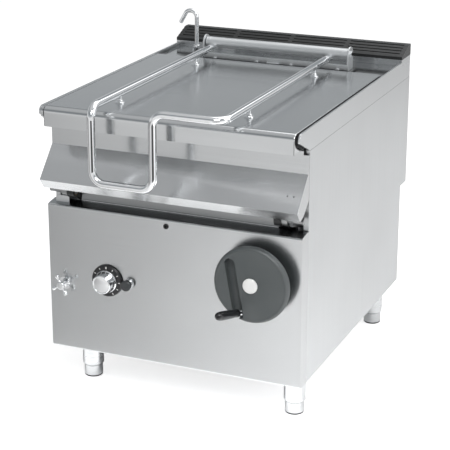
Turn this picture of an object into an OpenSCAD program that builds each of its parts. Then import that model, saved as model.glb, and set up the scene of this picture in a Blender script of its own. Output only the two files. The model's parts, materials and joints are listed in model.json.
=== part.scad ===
// Tilting bratt pan on four adjustable legs, with a crank-driven gear train.
// X runs to the right, Y to the back and Z up. The outlines below are drawn
// with Y = 0 at the control panel's face, and machine() moves them onto the
// origin, which is on the floor under the middle of the whole machine.

/* [Cabinet] */
// Width over the side panels
body_w = 800; // [760:10:900]
// Depth from the control panel's face to the back
body_d = 1000; // [980:10:1080]
// Height of the cabinet's underside above the floor
base_z = 140; // [125:5:170]
// Height of the working top
top_z = 897; // [890:1:910]
// Height of the ledge's front edge
ledge_z = 593; // [585:1:600]
// Rise of the ledge towards its back
ledge_rise = 7; // [3:1:9]
// Depth of the ledge
ledge_d = 50; // [46:1:52]
// Depth of the step-out at the back
step_d = 62; // [40:1:90]
// Height of the step-out's underside
step_z = 472; // [440:5:500]
// Height of the seam between the side panels and the cheeks
seam_z = 833; // [828:1:838]
// Thickness of the stainless sheet
sheet = 2; // [1.5:0.5:2.5]
// Thickness of the hollow cheeks beside the lid
cheek_t = 6; // [5:0.5:8]

/* [Legs] */
// Distance of the legs from the sides
leg_side = 65; // [60:5:100]
// Distance of the front legs from the control panel's face
leg_front = 134; // [120:2:150]
// Distance of the rear legs from the lower back
leg_back = 60; // [50:2:90]
// Radius of the leg sleeves
sleeve_r = 32.5; // [30:0.5:36]
// Height of a foot below its sleeve
foot_h = 38; // [30:1:50]
// Radius of a foot
foot_r = 28.5; // [25:0.5:30]
// Radius of a foot's threaded stem
stem_r = 10; // [8:1:14]

/* [Tilting pan] */
// Distance of the pivot pins behind the control panel's face
pin_y = 20; // [18:1:22]
// Height of the pivot pins above the ledge's back edge
pin_rise = 36; // [35:1:40]
// Radius of the pivot pins
pin_r = 10; // [8:0.5:12]
// Distance of the vessel's side walls from the cabinet's sides
vessel_side = 75; // [75:5:100]
// Distance of the vessel's rear wall from the cabinet's back
vessel_rear = 300; // [295:5:355]
// Thickness of the vessel's walls
wall = 3; // [2:0.5:4]
// Thickness of the heated floor
plate_t = 12; // [10:1:14]
// Space for insulation between the walls and the casing
insulation_t = 15; // [12:1:18]
// Radius of the vessel's rear corners
corner_r = 30; // [20:2:50]
// Distance of the upright band behind the control panel's face
band_y = 38; // [36:1:40]

/* [Lid] */
// Height of the lid's flat part over the rim
lid_h = 29; // [26:1:34]
// Reach of the lid's nose in front of the control panel's face
nose_reach = 32; // [28:1:36]
// Height of the nose's front face
nose_h = 59; // [52:1:62]
// Radius of the nose's upper edge
nose_r = 18; // [6:1:20]
// Radius of the chrome handle tube
tube_r = 11.5; // [10:0.5:13]
// Radius of the handle's bends
bend_r = 38; // [30:1:44]
// Height of the handle rails' middle over the lid
rail_rise = 31; // [28:1:34]

/* [Crank and gears] */
// Distance of the handwheel's axis from the right side
wheel_side = 133; // [132:1:140]
// Height of the handwheel's axis
wheel_z = 453; // [450:1:456]
// Radius of the handwheel
wheel_r = 115; // [105:1:118]
// Radius of the handwheel's shaft
shaft_r = 10; // [9:0.5:11]
// Length of the folding grip from its pivot
grip_l = 150; // [130:1:152]
// Radius of the folding grip
grip_r = 13; // [11:0.5:14]
// Module of the tilt gears
gear_mod = 3; // [3:0.05:3.1]
// Module of the worm and its wheel
worm_mod = 4; // [3.9:0.05:4]

/* [Controls] */
// Radius of the thermostat's dial
dial_r = 49; // [40:1:54]
// Radius of the thermostat's chrome grip
knob_r = 35; // [25:1:36]
// Length of the water tap's arms
tap_arm = 27; // [24:1:34]
// Radius of the swan neck's pipe
neck_r = 7; // [6:0.5:8]
// Height of the swan neck's arch over the working top
neck_rise = 143; // [120:1:170]

/* [Hidden] */
$fn = 48;

// Clearance between pieces that only lie beside each other
gap = 0.3;
// Radial clearance of a shaft in its bush
running = 0.05;
// Radial clearance of a bush in its seat
seat = 0.03;
// Overrun of the cuts
over = 1;
// Points on a rounded corner of a folded sheet
bend_steps = 6;

// Cabinet
half_w = body_w / 2;
leg_x = half_w - leg_side;
wheel_x = half_w - wheel_side;
low_d = body_d - step_d;
ledge_back_z = ledge_z + ledge_rise;
panel_bend = 6;
panel_foot = 20;
panel_tuck = 16;
side_flange = 16;
floor_z = base_z + sheet;
inner_half = half_w - sheet;
rail = 40;
rail_inner = inner_half - rail;
gusset_t = 6;
gusset_half = 38;
sleeve_depth = 90;
stem_l = 72;
leg_back_y = low_d - leg_back;
foot_chamfer = 3;

// Pan and pivot
pin_z = ledge_back_z + pin_rise;
tilt_axis = [pin_y, pin_z];
rim_z = top_z - lid_h;
floor_rise = 4;
vessel_z = pin_z + floor_rise;
vessel_half = half_w - vessel_side;
front_low = 85;
front_slope = 25;
front_high = front_low - front_slope;
vessel_back = body_d - vessel_rear;
shell_half = vessel_half + wall;
casing_half = shell_half + insulation_t + sheet;
casing_z = vessel_z - plate_t - 5 * sheet;
casing_back = vessel_back + wall + insulation_t + 4 * sheet;
casing_front_low = 75;
casing_front_mid = 70;
casing_front_high = 45;
lid_side = 14;
lid_half = half_w - lid_side;

// Apron, measured from the pivot pins
band_top_z = seam_z - 11;
band_rise = 140;
band_low_z = pin_z + band_rise;
apron_tip = tilt_axis + [-63, 42];
apron_lip = tilt_axis + [-40, 12];
end_plate_y = ledge_d - 3;
end_plate_low = tilt_axis + [-14, 20];
end_plate_rear_z = pin_z + 54;

// Pivot brackets and their frame
bracket_side = 86;
bracket_in = half_w - bracket_side;
bracket_t = 22;
bracket_out = bracket_in + bracket_t;
bracket_r = 20;
bush_t = 3;
beam_y = 76;
beam_w = 40;
beam_top_z = pin_z - 56;
beam_h = 40;
post_in = bracket_in - sheet;
post_w = 30;
post_out = post_in + post_w;
bracket_foot = 8;
arm_low = [tilt_axis + [4, -14], tilt_axis + [64, -50]];
arm_high = [tilt_axis + [92, -48], tilt_axis + [14, 4]];

// Ears of the pan
ear_t = 8;
ear_in = casing_half;
ear_out = ear_in + ear_t;
ear_boss_r = 18;
ear_boss_gap = 1;
ear_outline = [
    tilt_axis + [130, 104], tilt_axis + [40, 104], tilt_axis + [-14, 10],
    tilt_axis + [-6, -16], tilt_axis + [10, -15], tilt_axis + [55, -9],
    tilt_axis + [130, 4]
];
spacer_r = 9;
spacers = [tilt_axis + [75, 38], tilt_axis + [78, 8], tilt_axis + [34, 30]];

// Gear train: the sector's teeth sit round the pivot pins
pressure = 20;
gear_slack = 0.3;
sector_teeth = 72;
idler_teeth = 36;
pinion_teeth = 16;
sector_reach = 80;
gear_in = ear_out + 7;
gear_t = 8;
gear_out = gear_in + gear_t;
gear_side = 0.5;
sector_r = gear_mod * sector_teeth / 2;
idler_r = gear_mod * idler_teeth / 2;
pinion_r = gear_mod * pinion_teeth / 2;
dedendum_share = 1.25;
ring_inner_r = 78;
web_low = -32;
web_high = 42;
worm_teeth = 24;
worm_r = 19.5;
worm_turns = 3;
worm_slices = 24;
worm_slack = 0.4;
lead = PI * worm_mod;
worm_l = worm_turns * lead;
worm_wheel_r = worm_mod * worm_teeth / 2;
worm_wheel_t = 8;
cross_z = wheel_z + worm_r + worm_wheel_r;
idler_z = cross_z + idler_r + pinion_r;
train_r = sector_r + idler_r;
cross_y = pin_y + sqrt(pow(train_r, 2) - pow(pin_z - idler_z, 2));
idler_at = [cross_y, idler_z];
cross_at = [cross_y, cross_z];
idler_dir = atan2(idler_z - pin_z, cross_y - pin_y);
sector_pitch = 360 / sector_teeth;
idler_pitch = 360 / idler_teeth;
idler_below = idler_dir + 180 + 90;
idler_lag = idler_below - idler_pitch * round(idler_below / idler_pitch);
pinion_tooth = 90 - idler_lag * idler_teeth / pinion_teeth;
idler_hole_r = 14.2;
idler_bush_r = 14;
axle_r = 10;
square_w = 1.4 * shaft_r;
square_slack = 0.1;

// Gear case and the plate on the right side panel
case_wall = 6;
case_half_x = 26;
case_front = beam_y + beam_w;
case_back = cross_y + worm_wheel_r + worm_mod + 4;
case_low = wheel_z - worm_r - 2 * worm_mod;
case_high = cross_z + 30;
case_flange_z = beam_top_z;
case_in = wheel_x - case_half_x;
case_out = wheel_x + case_half_x;
bush_r = 14;
plate_in = inner_half - 8;
plate_margin = 44;
collar_r = 15;
collar_t = 3;

// Handwheel, measured forwards from the control panel's face
wheel_back = 14;
wheel_face = 52;
rim_front = 58;
rim_w = 20;
hub_r = 24;
hub_back = 6;
recess_r = 15;
recess_floor = 20;
recess_low = [-36, -91];
recess_high = [-63, 57];
recess_run = recess_high - recess_low;
recess_dir = atan2(recess_run[1], recess_run[0]);
grip_f = 38;
grip_lean = 73.5;
grip_pin_r = 3;
grip_pin_l = 44;
grip_eye_r = 9;
grip_eye_w = 20;
spindle_r = 4;
sleeve_start = 18;
spindle_end = 12;
cap_r = 25;
cap_t = 6;
shaft_front = 42;

// Lid, handle and hinge
hinge_setback = 44;
hinge_y = casing_back + hinge_setback;
hinge_z = top_z + 45;
hinge_r = 14;
hinge_pin_r = 6;
hinge_x = 20;
hinge_inset = 154;
hinge_half = half_w - hinge_inset;
hinge_plate_t = 5;
hinge_plate_r = 24;
hinge_side = 1.5;
hinge_bar_h = 16;
hinge_bar_set = 18;
hinge_bar_y = hinge_y - hinge_bar_set;
hinge_bar_w = 12;
lid_back = casing_back - 4;
nose_inner = 28;
cheek_nose_h = 24;
tongue_leg_y = casing_back;
tongue_t = 4;
tongue_z = top_z - 9;
tongue_over = 32;
tongue_back = hinge_y + tongue_over;
tongue_low = 60;
rail_shift = 3;
rail_left = -half_w / 2;
rail_right = half_w / 2 + rail_shift;
rail_z = top_z + rail_rise;
drop_y = -90;
drop_right = -10;
drop_low = 706;
post_front = 90;
post_inset = 106;
post_back = casing_back - post_inset;
post_r = 6;
post_flange_r = 14;
post_flange_t = 4;
nut_r = 9;
nut_h = 5;

// Rear deck and flue
deck_z = top_z - 11;
deck_y = casing_back + tongue_t + 2;
flue_d = 95;
flue_y = body_d - flue_d;
flue_top_z = top_z + 45;
flue_low_z = top_z + 9;
flue_lip = 6;
flue_flat = 16;
flue_t = 3;
flue_steps = 5;
flue_slot_share = 0.45;
flue_bays = 4;
flue_bridge = 14;
duct_side = 160;
duct_half = half_w - duct_side;
duct_low = 520;
duct_high = 590;
duct_rear_gap = 20;
duct_d = 50;
duct_back = body_d - duct_rear_gap;
duct_y = duct_back - duct_d;
bulkhead_low = 608;

// Burners and gas
box_left_side = 90;
box_right_side = 175;
box_rear_gap = 36;
box_left = box_left_side - half_w;
box_right = half_w - box_right_side;
box_front = 130;
box_back = casing_back - box_rear_gap;
box_low = 500;
box_high = 606;
burner_r = 22;
burner_z = 528;
burner_front = 126;
burner_rear_gap = 26;
burner_back = box_back - burner_rear_gap;
burner_count = 4;
burner_left_gap = 60;
burner_right_gap = 115;
burner_first = box_left + burner_left_gap;
burner_step = (box_right - burner_first - burner_right_gap) / (burner_count - 1);
burner_slots = 12;
burner_slot_w = 3;
manifold_y = 96;
manifold_z = 500;
manifold_r = 8;
injector_r = 5;
gas_side = 193;
gas_x = gas_side - half_w;
gas_z = 379;
gas_r = 6;
inlet_r = 10.5;
inlet_z = 230;
inlet_out = 37;
inlet_flange_r = 17;
inlet_flange_t = 5;
elbow_t = 4;
valve_half = [32, 44, 30];
spindle_front = 30;
knob_spindle_r = 5;

// Controls on the panel
dial_t = 8;
knob_front = 45;
button_z = 377;
bezel_r = 16.5;
button_side = 1.5;
button_x = gas_x + dial_r + button_side + bezel_r;
bezel_t = 8;
barrel_r = 13;
barrel_l = 60;
cap_button_r = 16;
button_stem_r = 5;
button_front = 22;
button_t = 9.5;
tap_side = 50;
tap_x = tap_side - half_w;
tap_z = 350;
tap_r = 16;
tap_flange_r = 20;
tap_l = 60;
tap_pipe_y = 34;
tap_hub_r = 13;
tap_hub_back = 12;
tap_hub_front = 34;
tap_arm_f = 24;
tap_arm_r = 5;
tap_ball_r = 6.5;
tap_turn = 28;
sight_x = -15;
sight_z = 573;
sight_r = 8;
sight_hole_r = 4;
water_r = 7;
water_z = 480;
neck_side = 122;
neck_x = neck_side - half_w;
neck_setback = 72;
neck_y = deck_y + neck_setback;
neck_bend = 22;
neck_turn = 150;
neck_collar_r = 15;
neck_collar_h = 20;
neck_drop = 36;
neck_nut_r = 11;
neck_nut_h = 14;

// The grip's tip is the machine's foremost point
front_reach = grip_f + (grip_l - grip_r) * sin(grip_lean) + grip_r;
centre_y = (body_d - front_reach) / 2;

// Placing and drawing helpers
module machine() {
    translate([0, -centre_y, 0]) children();
}

module block(low, high) {
    translate(low) cube(high - low);
}

module both_sides() {
    children();
    mirror([1, 0, 0]) children();
}

// Extrudes an outline drawn in Y and Z between two places in X
module profile(x0, x1) {
    translate([x0, 0, 0]) rotate([90, 0, 90]) linear_extrude(height = x1 - x0) children();
}

module rod_x(x0, x1, at, r) {
    translate([x0, at[0], at[1]]) rotate([0, 90, 0]) cylinder(h = x1 - x0, r = r);
}

module rod_y(y0, y1, x, z, r) {
    translate([x, y0, z]) rotate([-90, 0, 0]) cylinder(h = y1 - y0, r = r);
}

module rod_z(z0, z1, x, y, r) {
    translate([x, y, z0]) cylinder(h = z1 - z0, r = r);
}

function unit(v) = v / norm(v);
function left_of(v) = [-v[1], v[0]];
function polar(r, a) = [r * cos(a), r * sin(a)];

// The point that lies t to the left of a path's corner
function beside(before, at, after, t) =
    let (n = left_of(unit(at - before)) + left_of(unit(after - at)))
    at + n * (2 * t / (n * n));

function offset_path(path, t) = [
    for (i = [0 : len(path) - 1])
        beside(
            i > 0 ? path[i - 1] : 2 * path[0] - path[1],
            path[i],
            i < len(path) - 1 ? path[i + 1] : 2 * path[i] - path[i - 1],
            t
        )
];

function inset_loop(path, t) = [
    for (i = [0 : len(path) - 1])
        beside(path[(i + len(path) - 1) % len(path)], path[i], path[(i + 1) % len(path)], t)
];

function corner(before, at, after, r) =
    let (
        u = unit(before - at),
        v = unit(after - at),
        half = acos(u * v) / 2,
        mid = at + unit(u + v) * r / sin(half),
        first = at + u * r / tan(half) - mid,
        last = at + v * r / tan(half) - mid
    )
    [for (i = [0 : bend_steps]) mid + r * unit(first * (bend_steps - i) + last * i)];

// A path with each of its inner corners rounded
function rounded(path, r) = concat(
    [path[0]],
    [for (i = [1 : len(path) - 2]) each corner(path[i - 1], path[i], path[i + 1], r)],
    [path[len(path) - 1]]
);

function backwards(path) = [for (i = [len(path) - 1 : -1 : 0]) path[i]];

// Sheet metal folded along a path, t thick to its left
module folded(path, t) {
    polygon(concat(path, backwards(offset_path(path, t))));
}

// Gear outlines
function involute(a) = tan(a) * 180 / PI - a;

function tooth_half(teeth, mod, slack, r) =
    let (pitch_r = mod * teeth / 2, base_r = pitch_r * cos(pressure))
    90 / teeth - slack * 180 / PI / pitch_r + involute(pressure)
        - (r > base_r ? involute(acos(base_r / r)) : 0);

function flank_radii(teeth, mod) =
    let (
        pitch_r = mod * teeth / 2,
        root_r = pitch_r - dedendum_share * mod,
        start_r = max(root_r, pitch_r * cos(pressure)),
        tip_r = pitch_r + mod
    )
    concat([root_r], [for (i = [0 : 3]) start_r + (tip_r - start_r) * (i + 0.1) / 3.1]);

function tooth(teeth, mod, slack, at) =
    let (radii = flank_radii(teeth, mod))
    concat(
        [for (r = radii) polar(r, at - tooth_half(teeth, mod, slack, r))],
        [for (r = backwards(radii)) polar(r, at + tooth_half(teeth, mod, slack, r))]
    );

function gear_outline(teeth, mod, slack, first) = [
    for (k = [0 : teeth - 1]) each tooth(teeth, mod, slack, first + 360 * k / teeth)
];

// Cabinet
module base_frame() machine() color("silver") {
    both_sides() block(
        [rail_inner, panel_bend + sheet, floor_z],
        [inner_half, low_d - sheet, floor_z + rail]
    );
    for (y = [beam_y, leg_back_y - beam_w / 2])
        block(
            [-rail_inner + gap, y, floor_z],
            [rail_inner - gap, y + beam_w, floor_z + rail]
        );
    both_sides() for (y = [leg_front, leg_back_y - beam_w - gusset_half])
        block(
            [leg_x - gusset_half, y, floor_z],
            [rail_inner - gap, y + gusset_half, floor_z + gusset_t]
        );
}

module leg_sleeve(y) {
    difference() {
        rod_z(foot_h, base_z, leg_x, y, sleeve_r);
        rod_z(foot_h - over, foot_h + sleeve_depth, leg_x, y, stem_r + running);
    }
}

module leg_sleeves() machine() color("silver") {
    both_sides() leg_sleeve(leg_front);
    both_sides() leg_sleeve(leg_back_y);
}

module foot(side, y) machine() color("dimgray") {
    translate([side * leg_x, y, 0]) {
        rotate_extrude() polygon([
            [0, 0], [foot_r - foot_chamfer, 0], [foot_r, foot_chamfer],
            [foot_r, foot_h - foot_chamfer], [foot_r - foot_chamfer, foot_h - gap],
            [stem_r, foot_h - gap], [stem_r, foot_h + stem_l], [0, foot_h + stem_l]
        ]);
    }
}

module foot_front_left() foot(-1, leg_front);
module foot_front_right() foot(1, leg_front);
module foot_rear_left() foot(-1, leg_back_y);
module foot_rear_right() foot(1, leg_back_y);

module floor_sheet() machine() color("lightgray") {
    difference() {
        block([-inner_half, panel_foot, base_z], [inner_half, low_d - sheet, floor_z]);
        block(
            [box_left, box_front + beam_w, base_z - over],
            [box_right, box_back, floor_z + over]
        );
    }
}

module side_panel() {
    profile(inner_half, half_w) polygon([
        [ledge_d, base_z], [low_d, base_z], [low_d, step_z], [body_d, step_z],
        [body_d, seam_z], [ledge_d, seam_z]
    ]);
    block([half_w - side_flange, ledge_d, ledge_back_z], [half_w, ledge_d + sheet, seam_z]);
    block([half_w - side_flange, ledge_d, seam_z - sheet], [half_w, deck_y - gap, seam_z]);
}

module right_side_panel() machine() color("gainsboro") side_panel();
module left_side_panel() machine() color("gainsboro") mirror([1, 0, 0]) side_panel();

module rear_panel() machine() color("silver") {
    difference() {
        profile(-inner_half, inner_half) folded(
            [
                [low_d, base_z], [low_d, step_z], [body_d, step_z],
                [body_d, flue_low_z]
            ],
            sheet
        );
        rod_y(low_d - sheet - over, low_d + over, gas_x, inlet_z, gas_r + gap);
        rod_y(low_d - sheet - over, low_d + over, tap_x, inlet_z, water_r + gap);
    }
}

module control_panel() machine() color("silver") {
    face = rounded(
        [
            [panel_foot, base_z], [0, base_z], [0, ledge_z], [ledge_d, ledge_back_z],
            [ledge_d, ledge_back_z - panel_tuck]
        ],
        panel_bend
    );
    difference() {
        union() {
            profile(-half_w, half_w) folded(face, -sheet);
            both_sides() profile(inner_half, half_w) polygon(concat(
                [for (p = face) if (p[0] < ledge_d && p[1] > base_z) p],
                [[ledge_d, ledge_back_z], [ledge_d, base_z], [panel_bend, base_z]]
            ));
        }
        rod_y(-over, sheet + over, wheel_x, wheel_z, bush_r + seat);
        rod_y(-over, sheet + over, gas_x, gas_z, knob_spindle_r + over);
        rod_y(-over, sheet + over, tap_x, tap_z, tap_r + gap);
        rod_y(-over, sheet + over, button_x, button_z, barrel_r + gap);
        rod_y(-over, sheet + over, sight_x, sight_z, sight_r - over + gap);
    }
}

module cheek() {
    cheek_back = body_d - sheet;
    outline = concat(
        [[cheek_back, seam_z]],
        [[cheek_back, deck_z], [flue_y, deck_z], [flue_y, top_z]],
        corner([flue_y, top_z], [-nose_reach, top_z], [-nose_reach, deck_z], nose_r),
        corner(
            [-nose_reach, top_z], [-nose_reach, top_z - cheek_nose_h], [ledge_d, seam_z],
            cheek_nose_h / 4
        ),
        [[ledge_d, seam_z]]
    );
    difference() {
        profile(half_w - cheek_t, half_w) polygon(outline);
        profile(half_w - cheek_t - over, half_w - sheet) polygon(inset_loop(outline, sheet));
    }
}

module right_cheek() machine() color("gainsboro") cheek();
module left_cheek() machine() color("gainsboro") mirror([1, 0, 0]) cheek();

module rear_deck() machine() color("silver") {
    deck_half = half_w - cheek_t;
    difference() {
        profile(-deck_half, deck_half) folded(
            [[deck_y, bulkhead_low], [deck_y, deck_z], [body_d - sheet, deck_z]],
            -sheet
        );
        block(
            [-duct_half, duct_y + sheet, deck_z - sheet - over],
            [duct_half, duct_back - sheet, deck_z + over]
        );
        rod_z(deck_z - sheet - over, deck_z + over, neck_x, neck_y, neck_collar_r - sheet);
    }
}

module flue_base() machine() color("gainsboro") {
    difference() {
        block([-half_w, flue_y, deck_z], [half_w, body_d - sheet - gap, flue_low_z]);
        block(
            [-inner_half, flue_y + sheet, deck_z - over],
            [inner_half, body_d, flue_low_z + over]
        );
    }
}

// The cover rises towards the back in louvred steps
flue_run = (body_d - flue_flat - flue_y) / flue_steps;
flue_climb = (flue_top_z - flue_low_z - flue_lip) / flue_steps;
flue_outline = concat(
    [[flue_y, flue_low_z]],
    [
        for (i = [0 : flue_steps - 1])
            each [
                [flue_y + i * flue_run, flue_low_z + flue_lip + (i + 0.6) * flue_climb],
                [flue_y + (i + 0.8) * flue_run, flue_low_z + flue_lip + (i + 1) * flue_climb]
            ]
    ],
    [[body_d - flue_flat, flue_top_z], [body_d, flue_top_z], [body_d, flue_low_z]]
);

module flue_cover() machine() color("dimgray") {
    bay = (2 * half_w - flue_bridge) / flue_bays;
    difference() {
        profile(-half_w, half_w) polygon(flue_outline);
        profile(-half_w + flue_t, half_w - flue_t) polygon([
            [flue_y + flue_t, flue_low_z - over],
            [flue_y + flue_t, flue_low_z + flue_lip - flue_t],
            [body_d - flue_flat, flue_top_z - flue_climb - flue_t],
            [body_d - flue_t, flue_top_z - flue_climb - flue_t],
            [body_d - flue_t, flue_low_z - over]
        ]);
        for (i = [1 : flue_steps - 1], b = [0 : flue_bays - 1])
            block(
                [
                    -half_w + flue_bridge + b * bay,
                    flue_y + i * flue_run,
                    flue_low_z + flue_t
                ],
                [
                    -half_w + (b + 1) * bay,
                    flue_y + (i + flue_slot_share) * flue_run,
                    flue_top_z + over
                ]
            );
    }
}

module flue_duct() machine() color("gray") {
    difference() {
        union() {
            block([-duct_half, box_back + gap, duct_low], [duct_half, duct_back, duct_high]);
            block([-duct_half, duct_y, duct_low], [duct_half, duct_back, deck_z - sheet]);
        }
        block(
            [-duct_half + sheet, box_back - over, duct_low + sheet],
            [duct_half - sheet, duct_back - sheet, duct_high - sheet]
        );
        block(
            [-duct_half + sheet, duct_y + sheet, duct_low + sheet],
            [duct_half - sheet, duct_back - sheet, deck_z + over]
        );
    }
}

// Pivot frame, brackets and bushes
module pivot_frame() machine() color("gray") {
    block([-post_out, beam_y, beam_top_z - beam_h], [post_out, beam_y + beam_w, beam_top_z]);
    both_sides() block(
        [post_in, beam_y, floor_z + rail],
        [post_out, beam_y + beam_w, beam_top_z - beam_h - gap]
    );
}

module pivot_bracket() {
    difference() {
        profile(bracket_in, bracket_out) union() {
            translate(tilt_axis) circle(r = bracket_r);
            polygon(concat(
                arm_low,
                [
                    [beam_y, beam_top_z], [beam_y + beam_w, beam_top_z],
                    [beam_y + beam_w, beam_top_z + bracket_foot]
                ],
                arm_high
            ));
        }
        rod_x(bracket_in - over, bracket_out + over, tilt_axis, pin_r + bush_t + seat);
    }
}

module pivot_brackets() machine() color("black") both_sides() pivot_bracket();

module bush_x(x0, x1, at, outer, inner) {
    difference() {
        rod_x(x0, x1, at, outer);
        rod_x(x0 - over, x1 + over, at, inner);
    }
}

module bush_y(y0, y1, x, z, outer, inner) {
    difference() {
        rod_y(y0, y1, x, z, outer);
        rod_y(y0 - over, y1 + over, x, z, inner);
    }
}

module bearing_bushes() machine() color("goldenrod") {
    both_sides() bush_x(bracket_in, bracket_out, tilt_axis, pin_r + bush_t, pin_r + running);
    bush_x(case_in - case_wall, case_in, cross_at, bush_r, shaft_r + running);
    bush_x(case_out, case_out + case_wall, cross_at, bush_r, shaft_r + running);
    bush_x(plate_in, inner_half - gap, cross_at, bush_r, shaft_r + running);
    for (y = [case_front, case_back])
        bush_y(y, y + case_wall, wheel_x, wheel_z, bush_r, shaft_r + running);
    bush_y(-sheet, 2 * sheet, wheel_x, wheel_z, bush_r, shaft_r + running);
}

module gear_case() machine() color("darkgray") {
    inner_front = case_front + case_wall;
    difference() {
        union() {
            block(
                [case_in - case_wall, case_front, case_low - case_wall],
                [case_out + case_wall, case_back + case_wall, case_high]
            );
            block(
                [case_in - case_wall, case_front, case_low],
                [case_out + case_wall, inner_front, case_flange_z]
            );
        }
        block([case_in, inner_front, case_low], [case_out, case_back, case_high + over]);
        rod_x(case_in - case_wall - over, case_out + case_wall + over, cross_at, bush_r + seat);
        rod_y(case_front - over, case_back + case_wall + over, wheel_x, wheel_z, bush_r + seat);
    }
}

module gear_plate() machine() color("darkgray") {
    difference() {
        union() {
            block(
                [plate_in, cross_y - plate_margin, cross_z - plate_margin],
                [inner_half, cross_y + plate_margin, idler_z + plate_margin]
            );
            rod_x(gear_in - 2 * gear_side, plate_in + over, idler_at, axle_r);
            rod_x(gear_out + gap, plate_in + over, idler_at, collar_r);
            rod_x(gear_in - 2 * gear_side - collar_t, gear_in - gear_side, idler_at, collar_r);
        }
        rod_x(plate_in - over, inner_half + over, cross_at, bush_r + seat);
    }
}

// Burners and gas
module burner_box() machine() color("gray") {
    difference() {
        block([box_left, box_front, box_low], [box_right, box_back, box_high]);
        block(
            [box_left + sheet, box_front + sheet, box_low + sheet],
            [box_right - sheet, box_back - sheet, box_high + over]
        );
        block(
            [box_left + 2 * rail, box_back - sheet - over, duct_low + sheet],
            [box_right - rail, box_back + over, duct_high - sheet]
        );
        for (i = [0 : burner_count - 1])
            rod_y(
                box_front - over, box_front + sheet + over,
                burner_first + i * burner_step, burner_z, burner_r + gap
            );
    }
}

module burners() machine() color("dimgray") {
    slot_run = (burner_back - box_front) / burner_slots;
    for (i = [0 : burner_count - 1]) {
        x = burner_first + i * burner_step;
        difference() {
            union() {
                rod_y(burner_front, burner_back, x, burner_z, burner_r);
                block(
                    [x - burner_r / 2, burner_back - rail, box_low + sheet],
                    [x + burner_r / 2, burner_back - rail + sheet, burner_z]
                );
            }
            rod_y(
                burner_front - over, burner_back - sheet, x, burner_z, burner_r - sheet
            );
            for (k = [1 : burner_slots - 1])
                block(
                    [
                        x - burner_r / 2,
                        box_front + k * slot_run,
                        burner_z + burner_r / 2
                    ],
                    [
                        x + burner_r / 2,
                        box_front + k * slot_run + burner_slot_w,
                        burner_z + burner_r + over
                    ]
                );
        }
    }
}

module elbow(at, r) {
    rod_z(at[2] - r - elbow_t, at[2] + r + elbow_t, at[0], at[1], r + elbow_t);
}

module inlet(x, y, r) {
    elbow([x, y, inlet_z], r);
    rod_y(y, low_d + over, x, inlet_z, r);
    rod_y(low_d, low_d + inlet_flange_t, x, inlet_z, inlet_flange_r);
    rod_y(low_d, low_d + inlet_out, x, inlet_z, inlet_r);
}

module gas_pipes() machine() color("peru") {
    last_x = burner_first + (burner_count - 1) * burner_step;
    valve_top = gas_z + valve_half[2];
    valve_low = gas_z - valve_half[2];
    rod_x(burner_first - rail, last_x + rail, [manifold_y, manifold_z], manifold_r);
    rod_z(valve_top, manifold_z, gas_x, manifold_y, gas_r);
    for (i = [0 : burner_count - 1]) {
        x = burner_first + i * burner_step;
        rod_z(manifold_z, burner_z, x, manifold_y + manifold_r / 2, injector_r);
        rod_y(manifold_y, burner_front + gas_r, x, burner_z, injector_r);
        elbow([x, manifold_y + manifold_r / 2, burner_z], injector_r - elbow_t / 2);
    }
    rod_z(inlet_z, valve_low, gas_x, manifold_y, gas_r);
    inlet(gas_x, manifold_y, gas_r);
}

module gas_valve() machine() color("darkgray") {
    mid_y = manifold_y - valve_half[1] + gas_r + elbow_t;
    block(
        [gas_x - valve_half[0], mid_y - valve_half[1], gas_z - valve_half[2]],
        [gas_x + valve_half[0], mid_y + valve_half[1], gas_z + valve_half[2]]
    );
    rod_y(sheet, mid_y - valve_half[1] + over, gas_x, gas_z, barrel_r);
    rod_y(-spindle_front, sheet + over, gas_x, gas_z, knob_spindle_r);
}

module igniter_body() machine() color("silver") {
    difference() {
        union() {
            rod_y(-bezel_t, 0, button_x, button_z, bezel_r);
            rod_y(-over, barrel_l, button_x, button_z, barrel_r);
        }
        rod_y(-bezel_t - over, barrel_l - over, button_x, button_z, button_stem_r + running);
    }
}

module igniter_button() machine() color("black") {
    rod_y(-button_front, -button_front + button_t, button_x, button_z, cap_button_r);
    rod_y(-button_front + over, barrel_l / 2, button_x, button_z, button_stem_r);
}

module sight_bush() machine() color("gray") {
    difference() {
        union() {
            rod_y(-sheet, 0, sight_x, sight_z, sight_r);
            rod_y(-over, 2 * sheet, sight_x, sight_z, sight_r - over);
        }
        rod_y(-sheet - over, 2 * sheet + over, sight_x, sight_z, sight_hole_r);
    }
}

// Water tap and swan neck
module water_valve() machine() color("silver") {
    rod_y(-2 * sheet, 0, tap_x, tap_z, tap_flange_r);
    rod_y(-over, tap_l, tap_x, tap_z, tap_r);
    rod_y(-spindle_front, 0, tap_x, tap_z, knob_spindle_r);
}

module water_pipes() machine() color("silver") {
    rod_z(tap_z + tap_r + gap, water_z, tap_x, tap_pipe_y, water_r);
    elbow([tap_x, tap_pipe_y, water_z], water_r);
    rod_y(tap_pipe_y, neck_y, tap_x, water_z, water_r);
    elbow([tap_x, neck_y, water_z], water_r);
    rod_x(tap_x, neck_x, [neck_y, water_z], water_r);
    elbow([neck_x, neck_y, water_z], water_r);
    difference() {
        union() {
            rod_z(water_z, deck_z + sheet, neck_x, neck_y, water_r + sheet);
            rod_z(deck_z, deck_z + neck_collar_h, neck_x, neck_y, neck_collar_r);
        }
        rod_z(
            deck_z + sheet, deck_z + neck_collar_h + over, neck_x, neck_y,
            neck_r + running
        );
    }
    rod_z(inlet_z, tap_z - tap_r - gap, tap_x, tap_pipe_y, water_r);
    inlet(tap_x, tap_pipe_y, water_r);
}

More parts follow.
